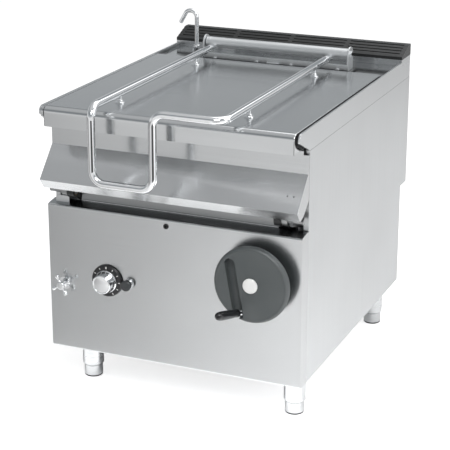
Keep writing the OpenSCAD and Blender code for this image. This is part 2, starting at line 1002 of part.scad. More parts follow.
module swan_neck() machine() color("silver") {
    arch_z = top_z + neck_rise - neck_bend - neck_r;
    collar_top = deck_z + neck_collar_h;
    rod_z(deck_z + sheet + gap, arch_z, neck_x, neck_y, neck_r);
    rod_z(collar_top + gap, collar_top + gap + neck_nut_h, neck_x, neck_y, neck_nut_r);
    translate([neck_x - neck_bend, neck_y, arch_z]) rotate([90, 0, 0]) {
        rotate_extrude(angle = neck_turn) translate([neck_bend, 0]) circle(r = neck_r);
        rotate([0, 0, neck_turn]) translate([neck_bend, -over, 0]) rotate([-90, 0, 0])
            cylinder(h = neck_drop + over, r = neck_r - gap);
    }
}

module tap_handle() machine() color("silver") {
    difference() {
        union() {
            translate([tap_x, 0, tap_z]) rotate([90, 0, 0]) rotate_extrude() polygon([
                [0, tap_hub_back], [tap_hub_r - sheet, tap_hub_back],
                [tap_hub_r, tap_hub_back + sheet], [tap_hub_r, tap_hub_front - 2 * sheet],
                [tap_hub_r - 2 * sheet, tap_hub_front], [0, tap_hub_front]
            ]);
            for (k = [0 : 3])
                translate([tap_x, -tap_arm_f, tap_z]) rotate([0, -tap_turn - 90 * k, 0]) {
                    rod_x(0, tap_arm, [0, 0], tap_arm_r);
                    translate([tap_arm, 0, 0]) sphere(r = tap_ball_r);
                }
        }
        rod_y(-spindle_front - gap, 0, tap_x, tap_z, knob_spindle_r + running);
    }
}

module thermostat_knob() machine() color("silver") {
    difference() {
        translate([gas_x, 0, gas_z]) rotate([90, 0, 0]) rotate_extrude() polygon([
            [0, dial_t + sheet], [knob_r - sheet, dial_t + sheet], [knob_r, dial_t + 2 * sheet],
            [knob_r - 2 * sheet, knob_front - 2 * sheet], [knob_r - 4 * sheet, knob_front],
            [0, knob_front]
        ]);
        rod_y(-spindle_front - gap, 0, gas_x, gas_z, knob_spindle_r + running);
    }
}

module dial_skirt() machine() color("black") {
    difference() {
        translate([gas_x, 0, gas_z]) rotate([90, 0, 0]) rotate_extrude() polygon([
            [0, sheet], [dial_r, sheet], [dial_r, 2 * sheet], [dial_r - sheet, dial_t],
            [knob_r, dial_t + sheet], [0, dial_t + sheet]
        ]);
        rod_y(-dial_t - sheet - over, 0, gas_x, gas_z, knob_spindle_r + running);
    }
}

// Pan
module vessel_plan(grow) {
    half = vessel_half + grow;
    front = front_low - grow;
    back = vessel_back + grow;
    r = corner_r + grow;
    translate([-half, front]) square([2 * half, back - front - r]);
    translate([-half + r, front]) square([2 * (half - r), back - front]);
    for (side = [-1, 1]) translate([side * (half - r), back - r]) circle(r = r);
}

module vessel_solid(grow, z0, z1) {
    translate([0, 0, z0]) linear_extrude(height = z1 - z0) vessel_plan(grow);
    profile(-vessel_half - grow, vessel_half + grow) polygon([
        [front_low - grow, z0], [front_high - grow, z1], [front_low + corner_r, z1],
        [front_low + corner_r, z0]
    ]);
}

module pan_walls() machine() color("silver") {
    difference() {
        union() {
            vessel_solid(wall, vessel_z, rim_z);
            block([-lid_half, band_y, rim_z - wall], [lid_half, casing_back, rim_z]);
        }
        vessel_solid(0, vessel_z - over, rim_z + over);
    }
}

module cooking_plate() machine() color("gray") {
    translate([0, 0, vessel_z - plate_t]) linear_extrude(height = plate_t) vessel_plan(wall);
}

module pan_casing() machine() color("silver") {
    rim_low = rim_z - wall;
    front = [
        [casing_front_low, casing_z], [casing_front_mid, vessel_z],
        [casing_front_high, rim_low - gap]
    ];
    side_in = casing_half - sheet;
    both_sides() profile(side_in, casing_half) polygon(concat(
        front, [[casing_back, rim_low], [casing_back, casing_z]]
    ));
    profile(-side_in + gap, side_in - gap) folded(front, -sheet);
    block(
        [-side_in + gap, casing_back - sheet, casing_z],
        [side_in - gap, casing_back, rim_low]
    );
}

module insulation() machine() color("khaki") {
    low_z = vessel_z + gap;
    high_z = rim_z - wall - gap;
    both_sides() block(
        [shell_half + gap, front_low, low_z],
        [casing_half - sheet - gap, vessel_back, high_z]
    );
    block(
        [-shell_half, vessel_back + wall + gap, low_z],
        [shell_half, casing_back - sheet - gap, high_z]
    );
}

module pan_apron() machine() color("silver") {
    low_face = [[band_y, band_low_z], apron_tip, apron_lip];
    profile(-lid_half, lid_half) folded(
        concat([[band_y, rim_z - wall]], low_face), sheet
    );
    profile(-half_w, half_w) folded(concat([[band_y, band_top_z]], low_face), sheet);
    both_sides() profile(inner_half, half_w) polygon(concat(
        [[end_plate_y, band_top_z], [band_y, band_top_z]],
        low_face,
        [end_plate_low, [end_plate_y, end_plate_rear_z]]
    ));
}

module pan_ear() {
    profile(ear_in, ear_out) polygon(ear_outline);
    rod_x(bracket_out + ear_boss_gap, ear_out + ear_boss_gap, tilt_axis, ear_boss_r);
    rod_x(bracket_in, inner_half, tilt_axis, pin_r);
}

module pan_ears() machine() color("dimgray") {
    both_sides() pan_ear();
    for (at = spacers) rod_x(ear_out - over, gear_in, at, spacer_r);
}

module tilt_sector() machine() color("gray") {
    root_r = sector_r - dedendum_share * gear_mod;
    last = ceil(sector_reach / sector_pitch);
    low = idler_dir - (last + 0.6) * sector_pitch;
    high = idler_dir + 1.6 * sector_pitch;
    web_steps = 12;
    outer = concat(
        [for (k = [last : -1 : -1]) each tooth(
            sector_teeth, gear_mod, gear_slack, idler_dir - k * sector_pitch
        )],
        [for (k = [0 : web_steps]) polar(root_r, high + (web_high - high) * k / web_steps)],
        [polar(ear_boss_r, web_high + 90), polar(ear_boss_r, 180), polar(ear_boss_r, web_low - 90)],
        [for (k = [0 : web_steps]) polar(ring_inner_r, web_low + (low - web_low) * k / web_steps)],
        [polar(root_r, low)]
    );
    profile(gear_in, gear_out) translate(tilt_axis) difference() {
        polygon(outer);
        polygon([for (k = [0 : 2 * web_steps - 1]) polar(pin_r + sheet, 180 * k / web_steps)]);
    }
}

module pan_tongue() machine() color("silver") {
    left = hinge_x - hinge_half - side_flange;
    right = hinge_x + hinge_half + side_flange;
    profile(left, right) folded(
        [
            [tongue_leg_y, rim_z - tongue_low], [tongue_leg_y, tongue_z + tongue_t],
            [tongue_back, tongue_z + tongue_t]
        ],
        -tongue_t
    );
}

module hinge_brackets() machine() color("silver") {
    seat_z = tongue_z + tongue_t;
    left = hinge_x - hinge_half;
    right = hinge_x + hinge_half;
    difference() {
        union() {
            for (x = [left - hinge_plate_t, right])
                profile(x, x + hinge_plate_t) {
                    translate([hinge_y, hinge_z]) circle(r = hinge_plate_r);
                    translate([hinge_y - hinge_plate_r, seat_z])
                        square([2 * hinge_plate_r, hinge_z - seat_z]);
                }
            block(
                [left - over, hinge_bar_y, seat_z],
                [right + over, hinge_bar_y + hinge_bar_w, seat_z + hinge_bar_h]
            );
        }
        rod_x(
            left - 2 * hinge_plate_t, right + 2 * hinge_plate_t, [hinge_y, hinge_z],
            hinge_pin_r + seat
        );
    }
}

module hinge_pins() machine() color("silver") {
    pin_l = 4 * hinge_plate_t;
    for (side = [-1, 1]) translate([hinge_x + side * hinge_half, hinge_y, hinge_z])
        rotate([0, 90 * side, 0]) {
            translate([0, 0, -pin_l]) cylinder(h = pin_l + hinge_plate_t + gap, r = hinge_pin_r);
            translate([0, 0, hinge_plate_t + gap])
                cylinder(h = hinge_plate_t, r = hinge_pin_r + 2 * sheet);
        }
}

// Lid
module lid_shell() machine() color("silver") {
    skirt_z = rim_z + gap;
    nose_z = top_z - nose_h;
    top_path = concat(
        [[nose_inner, nose_z]],
        [[-nose_reach, nose_z]],
        corner([-nose_reach, nose_z], [-nose_reach, top_z], [lid_back, top_z], nose_r),
        [[lid_back, top_z], [lid_back, skirt_z]]
    );
    profile(-lid_half, lid_half) folded(top_path, -sheet);
    both_sides() profile(lid_half - sheet, lid_half) polygon(concat(
        top_path, [[nose_inner, skirt_z]]
    ));
}

module tube_bend(at, turn) {
    translate(at) rotate(turn) rotate_extrude(angle = 90) translate([bend_r, 0])
        circle(r = tube_r);
}

module lid_handle() machine() color("lightgray") {
    top = rail_z - bend_r;
    low = drop_low + bend_r;
    difference() {
        union() {
            rod_y(drop_y + bend_r, hinge_y, rail_left, rail_z, tube_r);
            tube_bend([rail_left, drop_y + bend_r, top], [0, -90, 180]);
            rod_z(low, top, rail_left, drop_y, tube_r);
            tube_bend([rail_left + bend_r, drop_y, low], [90, 180, 0]);
            rod_x(rail_left + bend_r, drop_right - bend_r, [drop_y, drop_low], tube_r);
            tube_bend([drop_right - bend_r, drop_y, low], [90, 90, 0]);
            rod_z(low, top, drop_right, drop_y, tube_r);
            tube_bend([drop_right + bend_r, drop_y, top], [90, -90, 0]);
            rod_x(drop_right + bend_r, rail_right - bend_r, [drop_y, rail_z], tube_r);
            tube_bend([rail_right - bend_r, drop_y + bend_r, rail_z], [0, 0, -90]);
            rod_y(drop_y + bend_r, hinge_y, rail_right, rail_z, tube_r);
        }
        rod_x(rail_left - bend_r, rail_right + bend_r, [hinge_y, hinge_z], hinge_r + seat);
    }
}

module handle_posts() machine() color("lightgray") {
    difference() {
        for (x = [rail_left, rail_right], y = [post_front, post_back]) {
            rod_z(top_z, rail_z, x, y, post_r);
            rod_z(top_z, top_z + post_flange_t, x, y, post_flange_r);
            translate([x, y, top_z + over]) cylinder(h = post_flange_t + nut_h, r = nut_r, $fn = 6);
        }
        for (x = [rail_left, rail_right])
            rod_y(post_front - rail, post_back + rail, x, rail_z, tube_r + seat);
    }
}

module hinge_tube() machine() color("lightgray") {
    left = hinge_x - hinge_half + hinge_side;
    right = hinge_x + hinge_half - hinge_side;
    bush_x(left, right, [hinge_y, hinge_z], hinge_r, hinge_pin_r + running);
}

// Gear train
module idler_gear() machine() color("gray") {
    profile(gear_in + gear_side, gear_out - gear_side) translate(idler_at) difference() {
        polygon(gear_outline(
            idler_teeth, gear_mod, gear_slack, idler_dir + 180 + idler_pitch / 2
        ));
        polygon([for (k = [0 : 23]) polar(idler_hole_r, 15 * k)]);
    }
}

module idler_bush() machine() color("goldenrod") {
    bush_x(gear_in - gear_side + gap, gear_out, idler_at, idler_bush_r, axle_r + running);
}

module cross_shaft() machine() color("silver") {
    wheel_in = wheel_x - worm_wheel_t / 2;
    wheel_out = wheel_x + worm_wheel_t / 2;
    rod_x(case_in - case_wall - gap, wheel_in - gap, cross_at, shaft_r);
    rod_x(wheel_out + gap, gear_in, cross_at, shaft_r);
    rod_x(gear_out, inner_half - 2 * gap, cross_at, shaft_r);
    profile(case_in, plate_in) translate(cross_at) square(square_w, center = true);
}

module worm_wheel() machine() color("goldenrod") {
    profile(wheel_x - worm_wheel_t / 2, wheel_x + worm_wheel_t / 2)
        translate(cross_at) difference() {
            polygon(gear_outline(worm_teeth, worm_mod, gear_slack, 180 / worm_teeth - 90));
            square(square_w + square_slack, center = true);
        }
}

module pinion() machine() color("gray") {
    profile(gear_in + gear_side, gear_out - gear_side) translate(cross_at) difference() {
        polygon(gear_outline(pinion_teeth, gear_mod, gear_slack, pinion_tooth));
        square(square_w + square_slack, center = true);
    }
}

// Radius of the single thread, at an angle round the worm
function thread_r(a) =
    let (off = abs(a) / 360 * lead, flat = lead / 4 - worm_slack)
    min(
        worm_r + worm_mod,
        max(worm_r - dedendum_share * worm_mod, worm_r + (flat - off) / tan(pressure))
    );

module worm() machine() color("gray") {
    crest = 360 * worm_turns / 2 - 90;
    translate([wheel_x, cross_y - worm_l / 2, wheel_z]) rotate([-90, 0, 0])
        linear_extrude(
            height = worm_l, twist = 360 * worm_turns, slices = worm_slices * worm_turns
        )
        polygon([
            for (k = [0 : worm_slices - 1])
                let (a = 360 * k / worm_slices - 180) polar(thread_r(a), crest + a)
        ]);
}

module worm_shaft() machine() color("silver") {
    rod_y(-shaft_front, cross_y - worm_l / 2, wheel_x, wheel_z, shaft_r);
    rod_y(cross_y + worm_l / 2, case_back + case_wall, wheel_x, wheel_z, shaft_r);
}

// Handwheel and folding grip
module at_wheel() {
    translate([wheel_x, 0, wheel_z]) rotate([90, 0, 0]) children();
}

// Along the recess, across it and forwards, from the grip's pivot
module at_grip() {
    translate([wheel_x + recess_low[0], -grip_f, wheel_z + recess_low[1]])
        rotate([0, -recess_dir, 0]) rotate([90, 0, 0]) children();
}

module handwheel() machine() color("dimgray") {
    rim_in = wheel_r - rim_w;
    rim_mid = (wheel_back + rim_front) / 2;
    rim_deep = (rim_front - wheel_back) / 2;
    rim_steps = 8;
    difference() {
        at_wheel() rotate_extrude() polygon(concat(
            [[0, hub_back], [hub_r, hub_back], [hub_r, wheel_back], [rim_in, wheel_back]],
            [
                for (k = [0 : rim_steps])
                    let (a = 180 * k / rim_steps - 90)
                        [rim_in + rim_w * cos(a), rim_mid + rim_deep * sin(a)]
            ],
            [[rim_in - 2 * sheet, wheel_face], [0, wheel_face]]
        ));
        at_wheel() translate([0, 0, hub_back - over])
            cylinder(h = shaft_front - hub_back + over + gap, r = shaft_r + seat);
        at_grip() translate([0, 0, recess_floor - grip_f]) {
            cylinder(h = wheel_r, r = recess_r);
            translate([norm(recess_run), 0, 0]) cylinder(h = wheel_r, r = recess_r);
            translate([0, -recess_r, 0]) cube([norm(recess_run), 2 * recess_r, wheel_r]);
        }
        at_grip() rotate([90, 0, 0])
            cylinder(h = grip_pin_l + 2 * gap, r = grip_pin_r + running, center = true);
    }
}

module hub_cap() machine() color("white") {
    at_wheel() translate([0, 0, wheel_face]) rotate_extrude() polygon([
        [0, 0], [cap_r, 0], [cap_r, cap_t / 2], [cap_r - sheet, cap_t - over / 2],
        [cap_r - 3 * sheet, cap_t], [0, cap_t]
    ]);
}

module grip_spindle() machine() color("silver") {
    at_grip() {
        rotate([90, 0, 0]) cylinder(h = grip_pin_l, r = grip_pin_r, center = true);
        rotate([90, 0, 0]) cylinder(h = grip_eye_w, r = grip_eye_r, center = true);
        rotate([0, 90 - grip_lean, 0])
            cylinder(h = grip_l - spindle_end - 2 * gap, r = spindle_r);
    }
}

module grip_sleeve() machine() color("dimgray") {
    tip_steps = 8;
    waist = grip_r - sheet;
    at_grip() rotate([0, 90 - grip_lean, 0]) difference() {
        rotate_extrude() polygon(concat(
            [
                [0, sleeve_start], [waist - sheet, sleeve_start],
                [waist, sleeve_start + sheet], [grip_r, sleeve_start + grip_l / 4]
            ],
            [
                for (k = [0 : tip_steps])
                    [0, grip_l - grip_r] + polar(grip_r, 90 * k / tip_steps)
            ]
        ));
        translate([0, 0, sleeve_start - over])
            cylinder(h = grip_l - spindle_end - sleeve_start + over, r = spindle_r + running);
    }
}

base_frame();
leg_sleeves();
floor_sheet();
left_side_panel();
right_side_panel();
rear_panel();
control_panel();
left_cheek();
right_cheek();
rear_deck();
flue_base();
flue_cover();
flue_duct();
pivot_frame();
pivot_brackets();
bearing_bushes();
gear_case();
gear_plate();
burner_box();
burners();
gas_pipes();
gas_valve();
igniter_body();
water_valve();
water_pipes();
sight_bush();
foot_front_left();
foot_front_right();
foot_rear_left();
foot_rear_right();
pan_walls();
cooking_plate();
pan_casing();
insulation();
pan_apron();
pan_ears();
tilt_sector();
pan_tongue();
hinge_brackets();
hinge_pins();
lid_shell();
lid_handle();
handle_posts();
hinge_tube();
idler_gear();
idler_bush();
cross_shaft();
worm_wheel();
pinion();
handwheel();
hub_cap();
worm_shaft();
worm();
grip_spindle();
grip_sleeve();
thermostat_knob();
dial_skirt();
tap_handle();
igniter_button();
swan_neck();
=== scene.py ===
import json
import math
import bmesh
import bpy
from mathutils import Matrix, Vector


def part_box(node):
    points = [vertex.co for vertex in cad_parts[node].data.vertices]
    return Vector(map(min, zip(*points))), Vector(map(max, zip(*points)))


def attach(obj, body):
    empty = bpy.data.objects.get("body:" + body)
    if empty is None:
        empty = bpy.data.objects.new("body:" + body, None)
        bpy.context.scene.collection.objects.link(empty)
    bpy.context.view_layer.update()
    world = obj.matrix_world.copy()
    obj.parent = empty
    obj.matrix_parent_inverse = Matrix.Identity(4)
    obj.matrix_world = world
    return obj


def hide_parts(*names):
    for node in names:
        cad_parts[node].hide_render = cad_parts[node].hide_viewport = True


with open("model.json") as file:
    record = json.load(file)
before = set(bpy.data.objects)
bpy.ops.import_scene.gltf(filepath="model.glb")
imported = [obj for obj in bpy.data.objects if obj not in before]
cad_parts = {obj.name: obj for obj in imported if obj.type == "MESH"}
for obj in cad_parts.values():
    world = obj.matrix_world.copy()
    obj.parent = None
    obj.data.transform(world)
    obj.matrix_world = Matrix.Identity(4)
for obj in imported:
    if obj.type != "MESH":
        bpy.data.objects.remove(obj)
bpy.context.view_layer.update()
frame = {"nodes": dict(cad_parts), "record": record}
nodes = frame["nodes"]
bodies = frame["record"]["behaviour"]["bodies"]
carried_by = {node: body for body, held in bodies.items() for node in held}
finish_of = {part["node"]: part["material_slot"] for part in frame["record"]["subparts"]}

# Pieces are drawn in millimetres, with y counted back from the control panel's face
MM = 0.001
BACK = 1000
MIDDLE_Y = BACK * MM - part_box("flue_cover")[1].y
FORWARDS = Vector((0, -1, 0))
UPWARDS = Vector((0, 0, 1))
RIGHT = Vector((1, 0, 0))
BACKWARDS = Vector((0, 1, 0))


def at(x, y, z):
    """A drawn place, in the frame's metres."""
    return Vector((x * MM, y * MM - MIDDLE_Y, z * MM))


# ---- Finishes

# The middle of a noise's range, over which its shades and marks are spread
NOISE_LOW, NOISE_HIGH = 0.3, 0.7
EVEN = (1, 1, 1)
# Rolled sheet: its darker and lighter clouds, its cool cast, and a quarter turn of its grain
CLOUD_SHARES = 0.965, 1.03
COOL = 0.982, 1.0, 1.012
QUARTER_TURN = 0.25
SLIGHT_COAT = 0.15


def finish(name, base, metallic, rough, coat=0.0):
    """A new material with its principled shader."""
    made = bpy.data.materials.new(name)
    made.use_nodes = True
    shader = made.node_tree.nodes["Principled BSDF"]
    shader.inputs["Base Color"].default_value = (*base, 1)
    shader.inputs["Metallic"].default_value = metallic
    shader.inputs["Roughness"].default_value = rough
    shader.inputs["Coat Weight"].default_value = coat
    return made, shader


def grain(made, scale, stretch=EVEN, detail=4.0):
    """Noise read from Object coordinates, drawn out along one direction."""
    tree = made.node_tree
    place = tree.nodes.new("ShaderNodeTexCoord")
    mapping = tree.nodes.new("ShaderNodeMapping")
    mapping.inputs["Scale"].default_value = stretch
    noise = tree.nodes.new("ShaderNodeTexNoise")
    noise.inputs["Scale"].default_value = scale
    noise.inputs["Detail"].default_value = detail
    tree.links.new(place.outputs["Object"], mapping.inputs["Vector"])
    tree.links.new(mapping.outputs["Vector"], noise.inputs["Vector"])
    return noise.outputs["Fac"]


def drawn_out(along, lengthwise, across):
    """A noise's stretch: slight along the grain's axes, strong across them."""
    return tuple(lengthwise if axis in along else across for axis in "XYZ")


def tinted(made, shader, value, dark, light):
    """Colours the shader between two shades."""
    ramp = made.node_tree.nodes.new("ShaderNodeValToRGB")
    ends = ramp.color_ramp.elements
    for end, position, shade in ((ends[0], NOISE_LOW, dark), (ends[1], NOISE_HIGH, light)):
        end.position = position
        end.color = (*shade, 1)
    made.node_tree.links.new(value, ramp.inputs["Fac"])
    made.node_tree.links.new(ramp.outputs["Color"], shader.inputs["Base Color"])


def marked(made, shader, value, rough, less, more):
    """Lets the roughness run a little below and above its level."""
    ramp = made.node_tree.nodes.new("ShaderNodeMapRange")
    ramp.inputs["From Min"].default_value = NOISE_LOW
    ramp.inputs["From Max"].default_value = NOISE_HIGH
    ramp.inputs["To Min"].default_value = rough - less
    ramp.inputs["To Max"].default_value = rough + more
    made.node_tree.links.new(value, ramp.inputs["Value"])
    made.node_tree.links.new(ramp.outputs["Result"], shader.inputs["Roughness"])


def relief(made, shader, value, strength, depth):
    """Raises and sinks the surface a little where the value is high or low."""
    tree = made.node_tree
    bump = tree.nodes.new("ShaderNodeBump")
    bump.inputs["Strength"].default_value = strength
    bump.inputs["Distance"].default_value = depth
    tree.links.new(value, bump.inputs["Height"])
    tree.links.new(bump.outputs["Normal"], shader.inputs["Normal"])


def brushed(name, along, round_axis, base=0.56, rough=0.3, pull=0.6, depth=0.000006):
    """Stainless sheet whose grain runs along X, Y or Z, with faint clouding from the rolling."""
    made, shader = finish(name, (base,) * 3, metallic=1.0, rough=rough)
    shader.inputs["Anisotropic"].default_value = pull
    shader.inputs["Anisotropic Rotation"].default_value = QUARTER_TURN
    lay = made.node_tree.nodes.new("ShaderNodeTangent")
    lay.direction_type = "RADIAL"
    lay.axis = round_axis
    made.node_tree.links.new(lay.outputs["Tangent"], shader.inputs["Tangent"])
    fine = grain(made, scale=4.0, stretch=drawn_out(along, 3.0, 420.0), detail=3.0)
    broad = grain(made, scale=2.0, stretch=drawn_out(along, 1.2, 60.0), detail=4.0)
    clouds = grain(made, scale=2.4, detail=2.0)
    dark, light = ([base * share * cast for cast in COOL] for share in CLOUD_SHARES)
    tinted(made, shader, clouds, dark, light)
    marked(made, shader, broad, rough, less=0.025, more=0.03)
    relief(made, shader, fine, strength=0.12, depth=depth)
    return made


def polished(name, base=(0.80, 0.81, 0.82), rough=0.06):
    """Chrome plate with the faintest of wiping marks."""
    made, shader = finish(name, base, metallic=1.0, rough=rough)
    wipes = grain(made, scale=26.0, stretch=(1, 1, 3), detail=3.0)
    tone = grain(made, scale=6.0, detail=2.0)
    tinted(made, shader, tone, [channel * 0.97 for channel in base], base)
    marked(made, shader, wipes, rough, less=rough * 0.2, more=rough * 0.25)
    return made


def moulded(name, dark, light, rough=0.45, depth=0.00008):
    """Moulded plastic with a fine sparked grain."""
    made, shader = finish(name, light, metallic=0.0, rough=rough)
    skin = grain(made, scale=900.0, detail=2.0)
    tone = grain(made, scale=9.0, detail=3.0)
    tinted(made, shader, tone, dark, light)
    marked(made, shader, skin, rough, less=0.06, more=0.08)
    relief(made, shader, skin, strength=0.3, depth=depth)
    return made


def enamelled(name, dark, light, rough=0.32):
    """Fired or sprayed coating with slight orange peel."""
    made, shader = finish(name, light, metallic=0.0, rough=rough, coat=SLIGHT_COAT)
    peel = grain(made, scale=160.0, detail=2.0)
    tone = grain(made, scale=5.0, detail=3.0)
    tinted(made, shader, tone, dark, light)
    marked(made, shader, peel, rough, less=0.05, more=0.07)
    relief(made, shader, peel, strength=0.25, depth=0.00012)
    return made


def worked(name, dark, light, rough=0.42, metallic=1.0, scale=60.0, depth=0.0001):
    """Cast, forged or turned metal with uneven tone and a dull skin."""
    made, shader = finish(name, light, metallic, rough)
    skin = grain(made, scale=scale, detail=6.0)
    tone = grain(made, scale=7.0, detail=4.0)
    tinted(made, shader, tone, dark, light)
    marked(made, shader, skin, rough, less=0.1, more=0.12)
    relief(made, shader, skin, strength=0.35, depth=depth)
    return made


front_sheet = brushed("front_sheet", "X", "Z", rough=0.22, pull=0.75)
flat_sheet = brushed("flat_sheet", "X", "Y", rough=0.12, pull=0.4, depth=0.000002)
side_sheet = brushed("side_sheet", "Z", "Y", base=0.62, rough=0.32)
lid_sheet = brushed("lid_sheet", "X", "Y", base=0.58, rough=0.16, pull=0.5, depth=0.0000012)
# A darker copy of the stainless sheet: painted shade for the pan's ears and the ledge's upstand
# under the apron's lip
shade_darkened_sheet = brushed("shade_darkened_sheet", "X", "Z", base=0.34)
satin_steel = brushed("satin_steel", "X", "Z", base=0.74, rough=0.44, pull=0.3)
tongue_sheet = brushed(
    "tongue_sheet", "X", "Y", base=0.26, rough=0.14, pull=0.4, depth=0.000002
)
trim_sheet = brushed("trim_sheet", "Y", "X", rough=0.2, pull=0.4)
vessel_steel = brushed("vessel_steel", "X", "Z", base=0.55, rough=0.34)
leg_steel = brushed("leg_steel", "XY", "Z", base=0.70, rough=0.26, pull=0.85)
foot_steel = brushed("foot_steel", "XY", "Z", base=0.62, rough=0.24, pull=0.85)

chrome = polished("chrome_plate")
chrome_soft = polished("chrome_satin", (0.74, 0.75, 0.76), rough=0.2)

black_enamel = enamelled(
    "black_enamel", (0.007, 0.008, 0.008), (0.013, 0.014, 0.015), rough=0.45
)
grey_enamel = enamelled("grey_enamel", (0.15, 0.155, 0.16), (0.20, 0.205, 0.21), rough=0.42)

wheel_plastic = moulded(
    "wheel_plastic", (0.066, 0.075, 0.077), (0.082, 0.091, 0.093), rough=0.42
)
black_plastic = moulded(
    "black_plastic", (0.010, 0.010, 0.011), (0.017, 0.017, 0.019), rough=0.3
)
cap_plastic = moulded("cap_plastic", (0.030, 0.033, 0.035), (0.042, 0.046, 0.049), rough=0.4)
grip_plastic = moulded(
    "grip_plastic", (0.006, 0.006, 0.007), (0.010, 0.010, 0.011), rough=0.2, depth=0.00004
)
white_plastic = moulded(
    "white_plastic", (0.80, 0.80, 0.79), (0.86, 0.86, 0.85), rough=0.3, depth=0.00003
)
print_white = moulded(
    "print_white", (0.82, 0.82, 0.80), (0.88, 0.88, 0.86), rough=0.5, depth=0.00002
)
# Painted shade for the dark lines of the seams under the cheeks
seam_gap_shade = moulded("seam_gap_shade", (0.10, 0.105, 0.11), (0.16, 0.165, 0.17), rough=0.6)
# Black rubber for the feet's pads, and painted shade for the dark strips in the gaps by the lid and
# the tongue
rubber_and_gap_shade = moulded("rubber_and_gap_shade", (0.012, 0.012, 0.013), (0.020, 0.020, 0.022), rough=0.6)
rubber_and_gap_shade_shader = rubber_and_gap_shade.node_tree.nodes["Principled BSDF"]
rubber_and_gap_shade_shader.inputs["Specular IOR Level"].default_value = 0.12

zinc_sheet = worked(
    "zinc_sheet", (0.40, 0.41, 0.43), (0.58, 0.59, 0.61), scale=30.0, depth=0.00005
)
turned_steel = worked("turned_steel", (0.34, 0.345, 0.35), (0.50, 0.51, 0.52), rough=0.34)
burnt_steel = worked("burnt_steel", (0.07, 0.066, 0.062), (0.17, 0.15, 0.13), rough=0.55)
bronze = worked("bronze", (0.16, 0.11, 0.06), (0.26, 0.18, 0.09), rough=0.45)
brass = worked("brass", (0.62, 0.44, 0.16), (0.78, 0.58, 0.26), rough=0.28)
mineral_wool = worked(
    "mineral_wool", (0.32, 0.29, 0.18), (0.52, 0.48, 0.33),
    rough=0.95, metallic=0.0, scale=220.0, depth=0.0012,
)

DRESS = {
    "base_frame": zinc_sheet, "leg_sleeves": leg_steel, "floor_sheet": zinc_sheet,
    "left_side_panel": side_sheet, "right_side_panel": side_sheet, "rear_panel": zinc_sheet,
    "control_panel": front_sheet, "left_cheek": side_sheet, "right_cheek": side_sheet,
    "rear_deck": flat_sheet, "flue_base": front_sheet, "flue_cover": black_enamel,
    "flue_duct": zinc_sheet, "pivot_frame": grey_enamel, "pivot_brackets": black_enamel,
    "bearing_bushes": bronze, "gear_case": grey_enamel, "gear_plate": turned_steel,
    "burner_box": zinc_sheet, "burners": burnt_steel, "gas_pipes": brass, "gas_valve": brass,
    "igniter_body": chrome, "water_valve": chrome, "water_pipes": chrome_soft,
    "sight_bush": black_plastic, "foot_front_left": foot_steel, "foot_front_right": foot_steel,
    "foot_rear_left": foot_steel, "foot_rear_right": foot_steel, "pan_walls": vessel_steel,
    "cooking_plate": turned_steel, "pan_casing": front_sheet, "insulation": mineral_wool,
    "pan_apron": front_sheet, "pan_ears": shade_darkened_sheet, "tilt_sector": turned_steel,
    "pan_tongue": tongue_sheet, "hinge_brackets": satin_steel, "hinge_pins": chrome,
    "lid_shell": lid_sheet, "lid_handle": chrome, "handle_posts": chrome, "hinge_tube": satin_steel,
    "idler_gear": turned_steel, "idler_bush": bronze, "cross_shaft": turned_steel,
    "worm_wheel": bronze, "pinion": turned_steel, "handwheel": wheel_plastic,
    "hub_cap": white_plastic, "worm_shaft": turned_steel, "worm": turned_steel,
    "grip_spindle": chrome, "grip_sleeve": grip_plastic, "thermostat_knob": chrome,
    "dial_skirt": black_plastic, "tap_handle": chrome, "igniter_button": cap_plastic,
    "swan_neck": chrome,
}
for name, material in DRESS.items():
    shape = nodes[name].data
    shape.materials.clear()
    shape.materials.append(material)

# ---- Bench work: the moves that every piece is made with

# Degrees to a facet of a bent tube, and the millimetres that its bore is sunk into the open end
BEND_STEP = 7.5
BORE_DEPTH = 25
# Points within these millimetres are one point, and faces within these degrees one flat face
SAME_POINT = 0.02
SAME_FLAT = 0.5
# A face looks along an axis when its normal has this share of it, and points this near to a
# plane, in millimetres, lie in it
FACING = 0.9
TOUCHING = 0.1
# Sheet metal is shaded smooth only across folds of less than these degrees
SHEET_SMOOTH = 30


def put_down():
    """Lets go of every piece."""
    bpy.ops.object.select_all(action="DESELECT")


def take_up(piece):
    """Takes hold of one piece alone."""
    put_down()
    piece.select_set(True)
    bpy.context.view_layer.objects.active = piece


def open_up(piece):
    """Takes one piece into edit mode."""
    take_up(piece)
    bpy.ops.object.mode_set(mode="EDIT")


def close_up():
    """Goes back from edit mode."""
    bpy.ops.object.mode_set(mode="OBJECT")


def hold_all():
    """In edit mode, takes hold of the whole mesh."""
    bpy.ops.mesh.select_all(action="SELECT")


def pull(way):
    """In edit mode, extrudes what is held."""
    bpy.ops.mesh.extrude_region_move(TRANSFORM_OT_translate={"value": way})


def draw_in(share, centre):
    """In edit mode, brings what is held nearer to a point, or further from it."""
    bpy.ops.transform.resize(value=(share, share, share), center_override=centre)


def close_outwards():
    """Turns every face outwards and goes back from edit mode."""
    hold_all()
    bpy.ops.mesh.normals_make_consistent(inside=False)
    close_up()


def settle():
    """Puts the held piece's place, turn and size into its mesh."""
    bpy.ops.object.transform_apply(location=True, rotation=True, scale=True)


def middle_of(item):
    """The middle of a face or an edge, or a point's place."""
    if isinstance(item, bmesh.types.BMFace):
        return item.calc_center_median()
    if isinstance(item, bmesh.types.BMEdge):
        return (item.verts[0].co + item.verts[1].co) / 2
    return item.co


